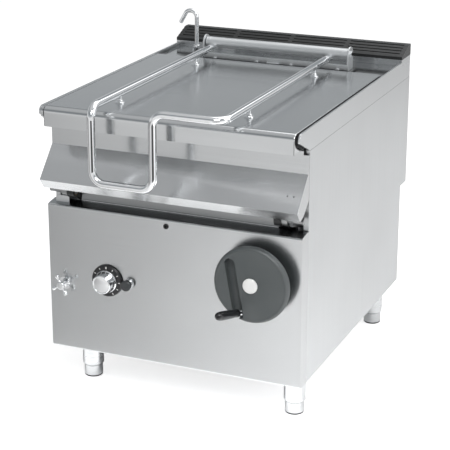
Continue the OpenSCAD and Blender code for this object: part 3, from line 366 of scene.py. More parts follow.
def pick(piece, kind, wanted):
    """In edit mode, takes hold of the faces, edges or points that pass a test."""
    bpy.ops.mesh.select_mode(type=kind)
    bpy.ops.mesh.select_all(action="DESELECT")
    drawn = bmesh.from_edit_mesh(piece.data)
    for item in {"FACE": drawn.faces, "EDGE": drawn.edges, "VERT": drawn.verts}[kind]:
        if wanted(item, middle_of(item)):
            item.select_set(True)
    bmesh.update_edit_mesh(piece.data)


def along(edge, low, high):
    """Whether both ends of an edge lie inside a box drawn in millimetres."""
    low, high = at(*low), at(*high)
    return all(low[k] < end.co[k] < high[k] for end in edge.verts for k in range(3))


def fit(piece, body, slot, material, *replaced, smooth=35):
    """Sets a finished piece in the frame: its place in its mesh, and riding on its body."""
    take_up(piece)
    settle()
    bpy.ops.object.shade_smooth_by_angle(angle=math.radians(smooth))
    even = piece.modifiers.new("even_shading", "WEIGHTED_NORMAL")
    even.weight = 100
    even.keep_sharp = True
    apply_all(piece)
    piece.data.materials.clear()
    piece.data.materials.append(material)
    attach(piece, body)
    if replaced:
        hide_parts(*replaced)


def stand_in(piece, node, smooth=35):
    """Fits a piece in the place of one CAD node, with that node's body and finish."""
    fit(piece, carried_by[node], finish_of[node], DRESS[node], node, smooth=smooth)


def block(name, low, high):
    """A cube primitive brought to its two corners, given in millimetres."""
    put_down()
    low, high = at(*low), at(*high)
    bpy.ops.mesh.primitive_cube_add(size=1, location=(low + high) / 2)
    piece = bpy.context.object
    piece.name = name
    piece.scale = high - low
    settle()
    return piece


def disc(name, middle, towards, radius, sides):
    """A filled circle primitive that looks one way, the start of all turned and bent pieces."""
    put_down()
    turn = towards.to_track_quat("Z", "Y").to_euler()
    bpy.ops.mesh.primitive_circle_add(
        vertices=sides, radius=radius * MM, fill_type="NGON", location=middle, rotation=turn
    )
    piece = bpy.context.object
    piece.name = name
    settle()
    return piece


def turned(name, foot, towards, rings, sides=64):
    """A lathe piece drawn up from a disc; each ring is a radius and a height over the foot."""
    towards = Vector(towards).normalized()
    radius, height = rings[0]
    piece = disc(name, foot + towards * height * MM, towards, radius, sides)
    open_up(piece)
    hold_all()
    for next_radius, next_height in rings[1:]:
        pull(towards * (next_height - height) * MM)
        if next_radius != radius:
            draw_in(next_radius / radius, foot + towards * next_height * MM)
        radius, height = next_radius, next_height
    close_outwards()
    return piece


def bent_tube(name, start, heading, radius, runs, sides=28, bore=0.0):
    """A tube drawn from a disc through straight runs and bends.

    A straight run is one length. A bend is its radius, its degrees and the side it turns to.
    A spin turns against the right-hand rule, so it is given the axis the other way round.
    """
    heading = Vector(heading).normalized()
    tip = Vector(start)
    piece = disc(name, tip, heading, radius, sides)
    open_up(piece)
    hold_all()
    for run in runs:
        if len(run) == 1:
            step = heading * run[0] * MM
            pull(step)
            tip = tip + step
            continue
        bend, degrees, side = run
        side = Vector(side).normalized()
        centre = tip + side * bend * MM
        axis = heading.cross(side).normalized()
        angle = math.radians(degrees)
        facets = max(4, round(degrees / BEND_STEP))
        bpy.ops.mesh.spin(steps=facets, angle=angle, center=centre, axis=-axis)
        turn = Matrix.Rotation(angle, 3, axis)
        tip = centre + turn @ (tip - centre)
        heading = turn @ heading
    if bore:
        pull((0, 0, 0))
        draw_in(bore / radius, tip)
        pull(-heading * BORE_DEPTH * MM)
    close_outwards()
    return piece


def copied(piece, name, shift=(0, 0, 0), turn=None):
    """A copy with its own mesh, moved in millimetres or turned by a matrix."""
    twin = piece.copy()
    twin.data = piece.data.copy()
    twin.name = name
    bpy.context.collection.objects.link(twin)
    moved = Matrix.Translation(Vector(shift) * MM)
    twin.data.transform(turn @ moved if turn else moved)
    return twin


def joined(first, *others):
    """Makes one piece of several, under the first one's name."""
    take_up(first)
    for other in others:
        other.select_set(True)
    bpy.ops.object.join()
    return first


def apply_all(piece):
    """Applies a piece's modifiers in their order."""
    take_up(piece)
    for modifier in list(piece.modifiers):
        bpy.ops.object.modifier_apply(modifier=modifier.name)


def broken_edges(piece, width, steps=2, angle=40):
    """Breaks the sharp edges, as a file does."""
    bevel = piece.modifiers.new("edges", "BEVEL")
    bevel.width = width * MM
    bevel.segments = steps
    bevel.limit_method = "ANGLE"
    bevel.angle_limit = math.radians(angle)
    apply_all(piece)


def bar(name, low, high, body, slot, material, edge, steps=2):
    """A small block with its edges broken, set in the frame."""
    piece = block(name, low, high)
    broken_edges(piece, width=edge, steps=steps)
    fit(piece, body, slot, material)


def merged(node):
    """A copy of a sheet-metal node with its doubles merged and its flat faces made whole."""
    piece = bpy.data.objects.new(node + "_deburred", nodes[node].data.copy())
    bpy.context.collection.objects.link(piece)
    open_up(piece)
    hold_all()
    bpy.ops.mesh.remove_doubles(threshold=SAME_POINT * MM)
    bpy.ops.mesh.dissolve_limited(angle_limit=math.radians(SAME_FLAT))
    close_up()
    return piece


def deburred(piece, node, width):
    """Breaks a merged copy's edges and fits it in the node's place."""
    broken_edges(piece, width)
    stand_in(piece, node, smooth=SHEET_SMOOTH)


# ---- Sheet-metal pieces

EDGE_BREAKS = {
    "control_panel": 0.7, "rear_deck": 0.7, "flue_base": 0.7, "pan_tongue": 0.7,
    "left_cheek": 0.9, "right_cheek": 0.9, "left_side_panel": 0.9, "right_side_panel": 0.9,
    "flue_cover": 0.5, "hinge_brackets": 1.0,
}
for node, width in EDGE_BREAKS.items():
    deburred(merged(node), node, width)

# The fold under the apron's band is set a little lower than the plain sheet's
APRON_FOLD_Z, APRON_FOLD_REACH, APRON_FOLD_DROP = 776, 5, 8
APRON_EDGE = 0.7
apron = merged("pan_apron")
open_up(apron)
pick(apron, "VERT", lambda point, mid: abs(mid.z / MM - APRON_FOLD_Z) < APRON_FOLD_REACH)
bpy.ops.transform.translate(value=(0, 0, -APRON_FOLD_DROP * MM))
close_up()
deburred(apron, "pan_apron", APRON_EDGE)

# The ledge's upstand behind the apron's lip; a chrome bead along the upstand's foot that stands in
# for the fold's highlight, a painted highlight; and a low plate before the left pivot
BRACKET_IN, BRACKET_OUT = 312, 340
bar(
    "ledge_upstand", (-BRACKET_IN, 47.4, 599), (BRACKET_IN, 49.4, 630),
    "cabinet", "stainless", shade_darkened_sheet, edge=0.6,
)
bar(
    "ledge_fold_highlight", (-BRACKET_IN, 44.8, 599.4), (BRACKET_IN, 47.4, 602.4),
    "cabinet", "chrome", chrome, edge=1.2, steps=4,
)
bar(
    "left_pivot_plate", (-384, 22, 595.6), (-BRACKET_OUT, 24, 616),
    "cabinet", "stainless", side_sheet, edge=0.6,
)

SEAM_LOW, SEAM_HIGH = 832, 834
CHEEK_IN = 394
CHEEK_TOP = 897
CHEEK_NOSE = (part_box("right_cheek")[0].y + MIDDLE_Y) / MM
STRIP_LOW, STRIP_HIGH = 888, 896.5
# The strips' bend round the cheek's nose, the short drop and the second bend under it, and the
# run back along the slope
NOSE_BEND = 18
LIP_DROP, LIP_BEND, LIP_DEGREES = 6, 6.5, 60
SLOPE_RUN = 48


def edge_strip(name, x_low, x_high, rear):
    """A strip along a cheek's inner edge, bent down round its nose and back along its slope."""
    put_down()
    low, high = at(x_low, rear, STRIP_LOW), at(x_high, rear, STRIP_HIGH)
    bpy.ops.mesh.primitive_plane_add(
        size=1, location=(low + high) / 2, rotation=(math.radians(90), 0, 0)
    )
    piece = bpy.context.object
    piece.name = name
    piece.scale = (high.x - low.x, high.z - low.z, 1)
    settle()
    bend = at(0, CHEEK_NOSE + NOSE_BEND, CHEEK_TOP - NOSE_BEND)
    lower = bend + Vector((0, -LIP_BEND, -LIP_DROP)) * MM
    slope = math.radians(90 - LIP_DEGREES)
    back = Vector((0, math.cos(slope), -math.sin(slope)))
    open_up(piece)
    hold_all()
    pull((0, bend.y - low.y, 0))
    bpy.ops.mesh.spin(steps=8, angle=math.radians(90), center=bend, axis=-RIGHT)
    pull((0, 0, -LIP_DROP * MM))
    bpy.ops.mesh.spin(steps=5, angle=math.radians(LIP_DEGREES), center=lower, axis=-RIGHT)
    pull(back * SLOPE_RUN * MM)
    close_outwards()
    broken_edges(piece, width=0.6, angle=50)
    return piece


# A black strip that stands in for the shade in the gap between the lid and the right cheek: painted
# shade
right_gap_shade = edge_strip("right_edge_gap_shade", 386.9, CHEEK_IN, 700)
fit(right_gap_shade, "cabinet", "black_plastic", rubber_and_gap_shade)
left_trim = edge_strip("left_edge_trim", -CHEEK_IN, -386.4, 720)
fit(left_trim, "cabinet", "stainless", trim_sheet)
# Dark strips along the seams between the cheeks and the side panels: painted shade that stands in
# for the gaps' shadow
for side, x_low, x_high in (("left", -399.85, -398.6), ("right", 398.6, 399.85)):
    bar(
        side + "_seam_shade_strip", (x_low, 51, SEAM_LOW), (x_high, 996, SEAM_HIGH),
        "cabinet", "black_plastic", seam_gap_shade, edge=0.3,
    )

# ---- Lid

LID_HALF = 386
LID_BACK = 722
LID_TOP = CHEEK_TOP
LID_SKIRT = 868.3
LID_SHEET = 2
LID_CORNER = 4
NOSE_FRONT = -32
NOSE_BACK = 28
NOSE_LOW = 838
NOSE_ROUND = 18


def lid_cover():
    """The lid's pressed cover: a shallow tray with its front folded down into a round nose."""
    piece = block("lid_cover", (-LID_HALF, NOSE_FRONT, LID_SKIRT), (LID_HALF, LID_BACK, LID_TOP))
    fold = at(0, NOSE_BACK, 0)
    brim = at(0, 0, LID_SKIRT + TOUCHING)
    near = TOUCHING * MM

    def nose_edge(edge):
        return along(
            edge, (-LID_HALF - 1, NOSE_FRONT - 1, LID_TOP - 1),
            (LID_HALF + 1, NOSE_FRONT + 1, LID_TOP + 1),
        )

    def end_edge(edge, side):
        """An edge round one end of the tray, but not on the fold's line or on the open brim."""
        ends = [end.co for end in edge.verts]
        return (
            all(abs(end.x - side * LID_HALF * MM) < near for end in ends)
            and not all(abs(end.y - fold.y) < near for end in ends)
            and not all(end.z < brim.z and end.y > fold.y - near for end in ends)
        )

    open_up(piece)
    hold_all()
    bpy.ops.mesh.bisect(plane_co=fold, plane_no=BACKWARDS)
    pick(piece, "FACE", lambda face, mid: face.normal.z < -FACING and mid.y < fold.y)
    pull((0, 0, (NOSE_LOW - LID_SKIRT) * MM))
    pick(piece, "EDGE", lambda edge, mid: nose_edge(edge))
    bpy.ops.mesh.bevel(offset=NOSE_ROUND * MM, segments=10, affect="EDGES")
    for side in (-1, 1):
        pick(piece, "EDGE", lambda edge, mid: end_edge(edge, side))
        bpy.ops.mesh.bevel(offset=LID_CORNER * MM, segments=4, affect="EDGES")
    pick(piece, "FACE", lambda face, mid: (face.normal.z < -FACING and mid.y > fold.y)
         or (face.normal.y > FACING and mid.y < fold.y + MM))
    bpy.ops.mesh.delete(type="FACE")
    close_up()
    wall = piece.modifiers.new("sheet", "SOLIDIFY")
    wall.thickness = LID_SHEET * MM
    wall.offset = -1
    apply_all(piece)
    stand_in(piece, "lid_shell")


lid_cover()

RAIL_LEFT, RAIL_RIGHT, RAIL_Z = -200, 203, 928
DROP_Y, DROP_RIGHT, DROP_LOW = -90, -10, 706
TUBE_R, BEND_R = 11.5, 38
HINGE_Y, HINGE_Z = 770, 942
# The rails run into the hinge's sleeve and end short of its middle
RAIL_END = 762
RAIL_RUN = RAIL_END - DROP_Y - BEND_R
DROP_RUN = RAIL_Z - DROP_LOW - 2 * BEND_R

handle = bent_tube(
    "lid_handle_tube", at(RAIL_LEFT, RAIL_END, RAIL_Z), FORWARDS, TUBE_R,
    [
        (RAIL_RUN,),
        (BEND_R, 90, -UPWARDS),
        (DROP_RUN,),
        (BEND_R, 90, RIGHT),
        (DROP_RIGHT - RAIL_LEFT - 2 * BEND_R,),
        (BEND_R, 90, UPWARDS),
        (DROP_RUN,),
        (BEND_R, 90, RIGHT),
        (RAIL_RIGHT - DROP_RIGHT - 2 * BEND_R,),
        (BEND_R, 90, BACKWARDS),
        (RAIL_RUN,),
    ],
)
stand_in(handle, "lid_handle", smooth=50)

POST_FRONT, POST_REAR = 90, 620
post = turned(
    "handle_post_1", at(RAIL_LEFT, POST_FRONT, LID_TOP), UPWARDS,
    [
        (14, 0), (14, 2.4), (13.2, 3.4), (11, 4), (9, 4.2), (8.8, 8.4), (8, 9.4), (6, 9.8),
        (5.6, 12), (5.6, 25),
    ],
    sides=32,
)
stand_in(post, "handle_posts")
OTHER_POSTS = (RAIL_RIGHT, POST_FRONT), (RAIL_LEFT, POST_REAR), (RAIL_RIGHT, POST_REAR)
for number, (x, y) in enumerate(OTHER_POSTS, 2):
    twin = copied(post, "handle_post_%d" % number, (x - RAIL_LEFT, y - POST_FRONT, 0))
    fit(twin, "lid", "chrome", chrome)

# The hinge's sleeve has a groove near each end
HINGE_LEFT, HINGE_RIGHT = -224.5, 264.5
HINGE_RUN = HINGE_RIGHT - HINGE_LEFT
SLEEVE_END = [(15.6, 0), (17, 1.4), (17, 15), (16.4, 15.6), (16.4, 17), (17, 17.6)]
far_end = [(radius, HINGE_RUN - inwards) for radius, inwards in reversed(SLEEVE_END)]
hinge_sleeve = turned(
    "hinge_sleeve", at(HINGE_LEFT, HINGE_Y, HINGE_Z), RIGHT, SLEEVE_END + far_end, sides=48
)
stand_in(hinge_sleeve, "hinge_tube")

# Painted shadow: dark strips that stand in for the shade in the gaps before and behind the tongue
# that the hinge stands on
TONGUE_LEFT, TONGUE_RIGHT = -240, 280
bar(
    "tongue_front_gap_shade", (TONGUE_LEFT, 722.8, 887), (TONGUE_RIGHT, 733, 896.4),
    "pan", "black_plastic", rubber_and_gap_shade, edge=0.5,
)
bar(
    "tongue_rear_gap_shade", (TONGUE_LEFT, 802.6, 885), (TONGUE_RIGHT, 813, 887.4),
    "cabinet", "black_plastic", rubber_and_gap_shade, edge=0.5,
)

# A small plate and four screw heads on the tongue
TONGUE_TOP = 892
bar(
    "tongue_plate", (-6, 741, TONGUE_TOP), (36, 762, TONGUE_TOP + 4),
    "pan", "stainless", satin_steel, edge=1.2, steps=3,
)
SCREW_X, SCREW_Y = -190, 750
screw = turned(
    "tongue_screw_1", at(SCREW_X, SCREW_Y, TONGUE_TOP), UPWARDS,
    [(6, 0), (6, 3.4), (5.4, 4.6), (4, 5.2), (0.4, 5.2)],
    sides=24,
)
fit(screw, "pan", "stainless", satin_steel)
for number, x in enumerate((-43, 76, 234), 2):
    twin = copied(screw, "tongue_screw_%d" % number, (x - SCREW_X, 0, 0))
    fit(twin, "pan", "stainless", satin_steel)

# ---- Handwheel with its trough and folding grip

WHEEL = at(267, 0, 453)
# The trough's two ends, seen from the wheel's middle, and its radius and depth
LOW_END = Vector((-36, 0, -91)) * MM
HIGH_END = Vector((-63, 0, 57)) * MM
TROUGH_R = 15.5
TROUGH_Y = 40
TROUGH_OPENING = 30
# Points before the trough's middle by these millimetres are drawn out through the wheel's face
TROUGH_FRONT = 0.2
# The folded-out grip's pivot, and its degrees out of the trough
PIVOT_Y = 38
GRIP_LEAN = 73.5


def wheel_disc():
    """A thick moulded disc, dished behind a round rim, with a trough for the folded grip."""
    piece = turned(
        "handwheel_disc", WHEEL, FORWARDS,
        [
            (12, 6), (24, 6), (24, 16), (60, 20), (98, 24), (105, 26), (109.6, 29.4), (112, 34),
            (112.8, 39), (112.6, 43.4), (111.4, 47.4), (109.2, 50.6), (106.6, 52.4), (104, 53),
            (102.6, 52.8), (102, 52.2), (101, 52), (60, 52), (26, 52), (0.8, 52),
        ],
        sides=96,
    )
    run = HIGH_END - LOW_END
    seat = WHEEL + LOW_END + FORWARDS * TROUGH_Y * MM
    put_down()
    bpy.ops.mesh.primitive_uv_sphere_add(
        segments=32, ring_count=16, radius=TROUGH_R * MM, location=seat,
        rotation=run.to_track_quat("Z", "Y").to_euler(),
    )
    trough = bpy.context.object
    trough.name = "trough_cutter"
    settle()
    open_up(trough)
    pick(trough, "FACE", lambda face, mid: (mid - seat).dot(run) > 0)
    pull(run)
    pick(trough, "VERT", lambda point, mid: (mid - seat).y < -TROUGH_FRONT * MM)
    bpy.ops.transform.translate(value=FORWARDS * TROUGH_OPENING * MM)
    close_outwards()
    cut = piece.modifiers.new("trough", "BOOLEAN")
    cut.object = trough
    cut.operation = "DIFFERENCE"
    apply_all(piece)
    bpy.data.objects.remove(trough)
    broken_edges(piece, width=1.2, steps=3, angle=48)
    stand_in(piece, "handwheel", smooth=40)


wheel_disc()

hub = turned(
    "hub_disc", WHEEL, FORWARDS,
    [
        (21.5, 51.5), (22, 52.4), (22, 55), (21.4, 56.4), (20, 57.3), (17.6, 57.8), (10, 58),
        (0.6, 58),
    ],
    sides=48,
)
stand_in(hub, "hub_cap")

grip_pivot = WHEEL + LOW_END + FORWARDS * PIVOT_Y * MM
lean = math.radians(GRIP_LEAN)
trough_way = (HIGH_END - LOW_END).normalized()
grip_way = trough_way * math.cos(lean) + FORWARDS * math.sin(lean)
grip = turned(
    "grip_handle", grip_pivot, grip_way,
    [
        (8.6, 18), (10.6, 18.6), (11.4, 20), (11.6, 26), (10.9, 30), (11.2, 36), (12.3, 60),
        (12.8, 95), (12.8, 125), (12.3, 136), (11, 142.6), (9.2, 146.6), (6.8, 148.2), (4.4, 149),
        (3.6, 148.4), (0.4, 148.2),
    ],
    sides=40,
)
stand_in(grip, "grip_sleeve", smooth=50)

# ---- Thermostat

DIAL_X, DIAL_Z = -207, 379
DIAL = at(DIAL_X, 0, DIAL_Z)
MARK_FRONT, MARK_ROOT = -10.1, -9
dial = turned(
    "dial_disc", DIAL, FORWARDS,
    [
        (48, 2), (49, 2.8), (49, 5.4), (48.4, 7.2), (47, 8.6), (45.6, 9.3), (44, 9.5), (36, 9.9),
        (35, 10), (0.8, 10),
    ],
    sides=80,
)
stand_in(dial, "dial_skirt")

mark = block(
    "dial_mark_1", (DIAL_X - 1.1, MARK_FRONT, DIAL_Z + 39), (DIAL_X + 1.1, MARK_ROOT, DIAL_Z + 44.4)
)
broken_edges(mark, width=0.3)
bar(
    "dial_spot", (DIAL_X - 2.2, MARK_FRONT, DIAL_Z + 38.4), (DIAL_X + 2.2, MARK_ROOT, DIAL_Z + 45),
    "thermostat", "white_plastic", print_white, edge=0.4,
)


def round_dial(degrees):
    """A turn about the dial's own axis."""
    turn = Matrix.Rotation(math.radians(degrees), 4, "Y")
    return Matrix.Translation(DIAL) @ turn @ Matrix.Translation(-DIAL)


for number, degrees in enumerate((-150, -120, -90, -60, -30, 30, 60, 90, 120, 150), 2):
    twin = copied(mark, "dial_mark_%d" % number, turn=round_dial(degrees))
    fit(twin, "thermostat", "white_plastic", print_white)
bpy.data.objects.remove(mark)

knob = turned(
    "knob_grip", DIAL, FORWARDS,
    [
        (34.4, 10.1), (35, 11), (35, 13.4), (34, 15), (32.6, 16.4), (31.4, 19), (30.2, 30),
        (29.2, 39), (28.8, 42), (28, 43.6), (26.8, 44.4), (25.6, 44.2), (25, 43), (24.4, 42.6),
        (20, 43.5), (14, 44.3), (7, 44.9), (0.5, 45),
    ],
    sides=72,
)
stand_in(knob, "thermostat_knob", smooth=40)

# ---- Igniter button

BUTTON = at(-140, 0, 377)
cap = turned(
    "button_cap", BUTTON, FORWARDS,
    [
        (4.2, -29), (5, -28), (5, 12.5), (15, 12.5), (16, 13.4), (16, 18.8), (15.5, 20.4),
        (14.3, 21.4), (12.6, 21.9), (8, 22), (0.5, 21.8),
    ],
    sides=48,
)
stand_in(cap, "igniter_button")
bezel = turned(
    "button_collar", BUTTON, FORWARDS,
    [
        (13, 1), (13, -59), (5.2, -59), (5.2, 8), (14.2, 8), (15.6, 7.6), (16.3, 6.6), (16.5, 5.4),
        (16.5, 0), (13, 0),
    ],
    sides=48,
)
stand_in(bezel, "igniter_body")

# ---- Water tap's cross handle

TAP = at(-350, 0, 350)
ARMS, FIRST_ARM, ARM_Y = 4, 28, 24
cross = turned(
    "tap_cross", TAP, FORWARDS,
    [
        (9, 12), (11, 12.4), (12.6, 14), (13, 16), (12.2, 18), (10.4, 20), (9.8, 23), (10, 27),
        (11.4, 29.4), (11.8, 31.4), (10.8, 33), (8.6, 33.8), (0.5, 34),
    ],
    sides=40,
)
arms = []
for number in range(ARMS):
    angle = math.radians(FIRST_ARM + 360 / ARMS * number)
    way = Vector((math.cos(angle), 0, math.sin(angle)))
    arms.append(turned(
        "tap_arm_%d" % number, TAP + FORWARDS * ARM_Y * MM, way,
        [
            (5.4, 4), (4.8, 11), (3.7, 15), (3.4, 19), (3.9, 22), (5.2, 24.4), (6.2, 27),
            (6.5, 29.4), (6, 31.6), (4.4, 33), (1.2, 33.4),
        ],
        sides=24,
    ))
stand_in(joined(cross, *arms), "tap_handle", smooth=50)

# ---- Swan neck

NECK = at(-278, 804, 889)
NECK_R, NECK_BORE = 7, 5.6
spout = bent_tube(
    "spout_pipe", NECK, UPWARDS, NECK_R, [(121.9,), (22, 150, -RIGHT), (36,)],
    sides=32, bore=NECK_BORE,
)
nut = turned(
    "spout_nut", NECK, UPWARDS,
    [(9.6, 17.4), (11, 18.4), (11, 29.4), (9.8, 31), (7.6, 31.3)],
    sides=6,
)
stand_in(joined(spout, nut), "swan_neck", smooth=50)

# ---- Legs and feet

LEG_X, LEG_FRONT, LEG_REAR = 335, 134, 878
first_leg = at(-LEG_X, LEG_FRONT, 0)
sleeve = turned(
    "leg_sleeve_front_left", first_leg, UPWARDS,
    [(28.8, 38.1), (29.6, 38.4), (32.2, 42), (32.5, 43.4), (32.5, 140)],
)
cup = turned(
    "foot_front_left_cup", first_leg, UPWARDS,
    [
        (27.6, 4.6), (28.4, 5.4), (28.5, 7), (28.5, 34), (28, 36.4), (26.6, 37.6), (10, 37.7),
        (10, 100),
    ],
)
pad = turned(
    "foot_front_left_pad", first_leg, UPWARDS,
    [(24, 0), (26.6, 0.5), (28, 1.8), (28.3, 3.4), (28.1, 4.7), (20, 4.8)],
)
stand_in(sleeve, "leg_sleeves")
stand_in(cup, "foot_front_left")
fit(pad, "front_left_foot", "foot_steel", rubber_and_gap_shade)
for name, x, y in (
    ("front_right", LEG_X, LEG_FRONT), ("rear_left", -LEG_X, LEG_REAR),
    ("rear_right", LEG_X, LEG_REAR),
):
    shift = (x + LEG_X, y - LEG_FRONT, 0)
    fit(copied(sleeve, "leg_sleeve_" + name, shift), "cabinet", "stainless", leg_steel)
    stand_in(copied(cup, "foot_%s_cup" % name, shift), "foot_" + name)
    fit(copied(pad, "foot_%s_pad" % name, shift), name + "_foot", "foot_steel", rubber_and_gap_shade)

# ---- Small fasteners

# The two rivets stand on the apron's sloping band
BAND_WAY = Vector((0, -90, 81)).normalized()
RIVET_STEP = 19
rivet = turned(
    "apron_rivet_1", at(358, -9.9, 714.8), BAND_WAY,
    [(2.6, -0.3), (2.6, 0.4), (2.1, 1.1), (1.2, 1.5), (0.3, 1.6)],
    sides=16,
)
fit(rivet, "pan", "stainless", grey_enamel)
fit(copied(rivet, "apron_rivet_2", (RIVET_STEP, 0, 0)), "pan", "stainless", grey_enamel)

# ---- Camera, lamps and floor

# The camera that was fitted to the photograph: its place, the degrees that it looks down and is
# turned, its focal length in pixels of the photograph's width, and how far its film is shifted
CAMERA = at(1723.55, -3621.17, 1972.82)
LOOKS_DOWN, IS_TURNED = 17.44, 23.24
FOCAL_PIXELS, PHOTO_PIXELS = 1487.45, 450
SENSOR_WIDTH = 36
FILM_SHIFT = -0.1
FARTHEST = 60

camera_data = bpy.data.cameras.new("camera")
camera = bpy.data.objects.new("camera", camera_data)
bpy.context.collection.objects.link(camera)
camera.location = CAMERA
camera.rotation_euler = (math.radians(90 - LOOKS_DOWN), 0, math.radians(IS_TURNED))
camera_data.sensor_width = SENSOR_WIDTH
camera_data.lens = FOCAL_PIXELS / PHOTO_PIXELS * SENSOR_WIDTH
camera_data.shift_y = FILM_SHIFT
camera_data.clip_end = FARTHEST
bpy.context.scene.camera = camera
bpy.context.scene.view_settings.view_transform = "Standard"


def lamp(name, place, aim, width, power, spread=180):
    """A square lamp that looks at a point, placed in metres; its spread is in degrees."""
    light = bpy.data.lights.new(name, "AREA")
    light.shape = "SQUARE"
    light.size = width
    light.energy = power
    light.spread = math.radians(spread)
    stand = bpy.data.objects.new(name, light)
    bpy.context.collection.objects.link(stand)
    stand.location = place
    stand.rotation_euler = (Vector(aim) - Vector(place)).to_track_quat("-Z", "Y").to_euler()


lamp("top_softbox", (1.2, 1.3, 3.4), aim=(0.4, 0.2, 0.5), width=4.0, power=64)
lamp("right_softbox", (4.0, 0.4, 2.4), aim=(0.5, 0.2, 0.3), width=3.2, power=44)
lamp("front_softbox", (1.1, -2.1, 2.1), aim=(0.4, -0.75, 0), width=1.2, power=8.5, spread=65)

# The studio's wall, as polished metal sees it from the floor's height up to overhead, the level
# that lights the dull surfaces, and the white of the picture's background
STUDIO_WALL = (
    (0.0, (0.95, 0.95, 0.95)), (0.07, (0.88, 0.88, 0.89)), (0.16, (0.57, 0.59, 0.6)),
    (0.26, (0.46, 0.48, 0.495)), (0.42, (0.27, 0.29, 0.305)), (0.58, (0.34, 0.36, 0.37)),
    (0.76, (0.62, 0.63, 0.64)), (1.0, (0.68, 0.69, 0.70)),
)
WALL_LIGHT = 0.34
WHITE = 1.0


def chosen(tree, ray, held, other):
    """Mixes a second colour in for one kind of ray."""
    mix = tree.nodes.new("ShaderNodeMix")
    mix.data_type = "RGBA"
    tree.links.new(ray, mix.inputs["Factor"])
    for source, socket in ((held, mix.inputs[6]), (other, mix.inputs[7])):
        if isinstance(source, float):
            socket.default_value = (source, source, source, 1)
        else:
            tree.links.new(source, socket)
    return mix.outputs[2]


world = bpy.data.worlds.new("studio")
bpy.context.scene.world = world
world.use_nodes = True
sky = world.node_tree
backdrop = sky.nodes["Background"]
rays = sky.nodes.new("ShaderNodeLightPath")
look = sky.nodes.new("ShaderNodeTexCoord")
axes = sky.nodes.new("ShaderNodeSeparateXYZ")
wall = sky.nodes.new("ShaderNodeValToRGB")
stops = wall.color_ramp.elements
stops[0].color = (*STUDIO_WALL[0][1], 1)
stops[1].color = (*STUDIO_WALL[-1][1], 1)
for height, shade in STUDIO_WALL[1:-1]:
    stops.new(height).color = (*shade, 1)
sky.links.new(look.outputs["Generated"], axes.inputs["Vector"])
sky.links.new(axes.outputs["Z"], wall.inputs["Fac"])
in_metal = chosen(sky, rays.outputs["Is Glossy Ray"], WALL_LIGHT, wall.outputs["Color"])
in_glass = chosen(sky, rays.outputs["Is Transmission Ray"], in_metal, WHITE)
in_view = chosen(sky, rays.outputs["Is Camera Ray"], in_glass, WHITE)
sky.links.new(in_view, backdrop.inputs["Color"])
backdrop.inputs["Strength"].default_value = 1.0

FLOOR_PAINT = 0.86
# What the floor gives off by itself to the camera and through glass, and its width in metres
FLOOR_IN_VIEW, FLOOR_IN_GLASS = 0.7, 0.3
FLOOR_WIDTH = 60

put_down()
bpy.ops.mesh.primitive_plane_add(size=FLOOR_WIDTH, location=(0, 0, 0))
floor = bpy.context.object
floor.name = "studio_floor"
floor_paint, floor_shader = finish(
    "pale_floor", (FLOOR_PAINT,) * 3, metallic=0.0, rough=0.9
)
floor_tree = floor_paint.node_tree
floor_rays = floor_tree.nodes.new("ShaderNodeLightPath").outputs
floor_place = floor_tree.nodes.new("ShaderNodeTexCoord").outputs["Object"]
floor_axes = floor_tree.nodes.new("ShaderNodeSeparateXYZ")
floor_tree.links.new(floor_place, floor_axes.inputs["Vector"])


def floor_sum(operation, first, second=None):
    """One step of the floor's arithmetic, from sockets or plain numbers."""
    step = floor_tree.nodes.new("ShaderNodeMath")
    step.operation = operation
    for place, value in enumerate((first, second)):
        if isinstance(value, float):
            step.inputs[place].default_value = value
        elif value:
            floor_tree.links.new(value, step.inputs[place])
    return step.outputs["Value"]


def floor_ramp(value, start, end, low, high):
    """A clamped straight ramp: low where the value is at its start, high at its end."""
    ramp = floor_tree.nodes.new("ShaderNodeMapRange")
    for socket, number in (
        ("From Min", start), ("From Max", end), ("To Min", low), ("To Max", high)
    ):
        ramp.inputs[socket].default_value = number
    floor_tree.links.new(value, ramp.inputs["Value"])
    return ramp.outputs["Result"]


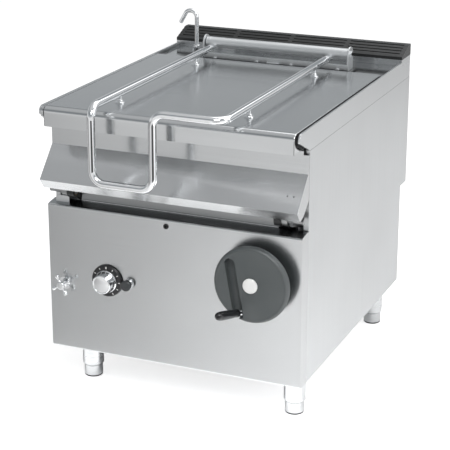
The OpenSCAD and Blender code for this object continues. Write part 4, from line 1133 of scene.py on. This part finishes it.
# Painted light that polished metal alone sees of the floor: a painted glow, lighter to the right
# and away from the pan's front, a painted bright strip at the panel's foot, and a painted dark
# patch on the floor beyond the front; in metres
MOST_ASIDE, LEAST_AHEAD = 0.6, 0.5
FOOT_Y = -0.45
PAINTED_PATCH_MIDDLE = 1.3, -2.9, 0
aside = floor_sum("MINIMUM", floor_axes.outputs["X"], MOST_ASIDE)
forwards = floor_sum("MULTIPLY", floor_axes.outputs["Y"], -1.0)
ahead = floor_sum("MAXIMUM", forwards, LEAST_AHEAD)
painted_glow_slope = floor_ramp(floor_sum("ADD", aside, ahead), start=0.2, end=2.1, low=0, high=0.58)
from_foot = floor_sum("ABSOLUTE", floor_sum("ADD", floor_axes.outputs["Y"], -FOOT_Y))
painted_foot_glow = floor_ramp(from_foot, start=0.1, end=0.2, low=1.1, high=0)
from_patch = floor_tree.nodes.new("ShaderNodeVectorMath")
from_patch.operation = "DISTANCE"
from_patch.inputs[1].default_value = PAINTED_PATCH_MIDDLE
floor_tree.links.new(floor_place, from_patch.inputs[0])
# The painted dark patch: for glossy rays the floor's glow and paint are dimmed round this point
floor_shade = floor_ramp(from_patch.outputs["Value"], start=1.2, end=1.55, low=0.06, high=1)
painted_reflection_glow = floor_sum("MULTIPLY", floor_sum("ADD", painted_glow_slope, painted_foot_glow), floor_shade)
painted_patch_paint = floor_sum("MULTIPLY", floor_shade, FLOOR_PAINT)
glow = chosen(floor_tree, floor_rays["Is Glossy Ray"], 0.0, painted_reflection_glow)
glow = chosen(floor_tree, floor_rays["Is Transmission Ray"], glow, FLOOR_IN_GLASS)
glow = chosen(floor_tree, floor_rays["Is Camera Ray"], glow, FLOOR_IN_VIEW)
floor_tree.links.new(glow, floor_shader.inputs["Emission Color"])
paint = chosen(floor_tree, floor_rays["Is Glossy Ray"], FLOOR_PAINT, painted_patch_paint)
floor_tree.links.new(paint, floor_shader.inputs["Base Color"])
floor_shader.inputs["Emission Strength"].default_value = 1.0
floor.data.materials.append(floor_paint)
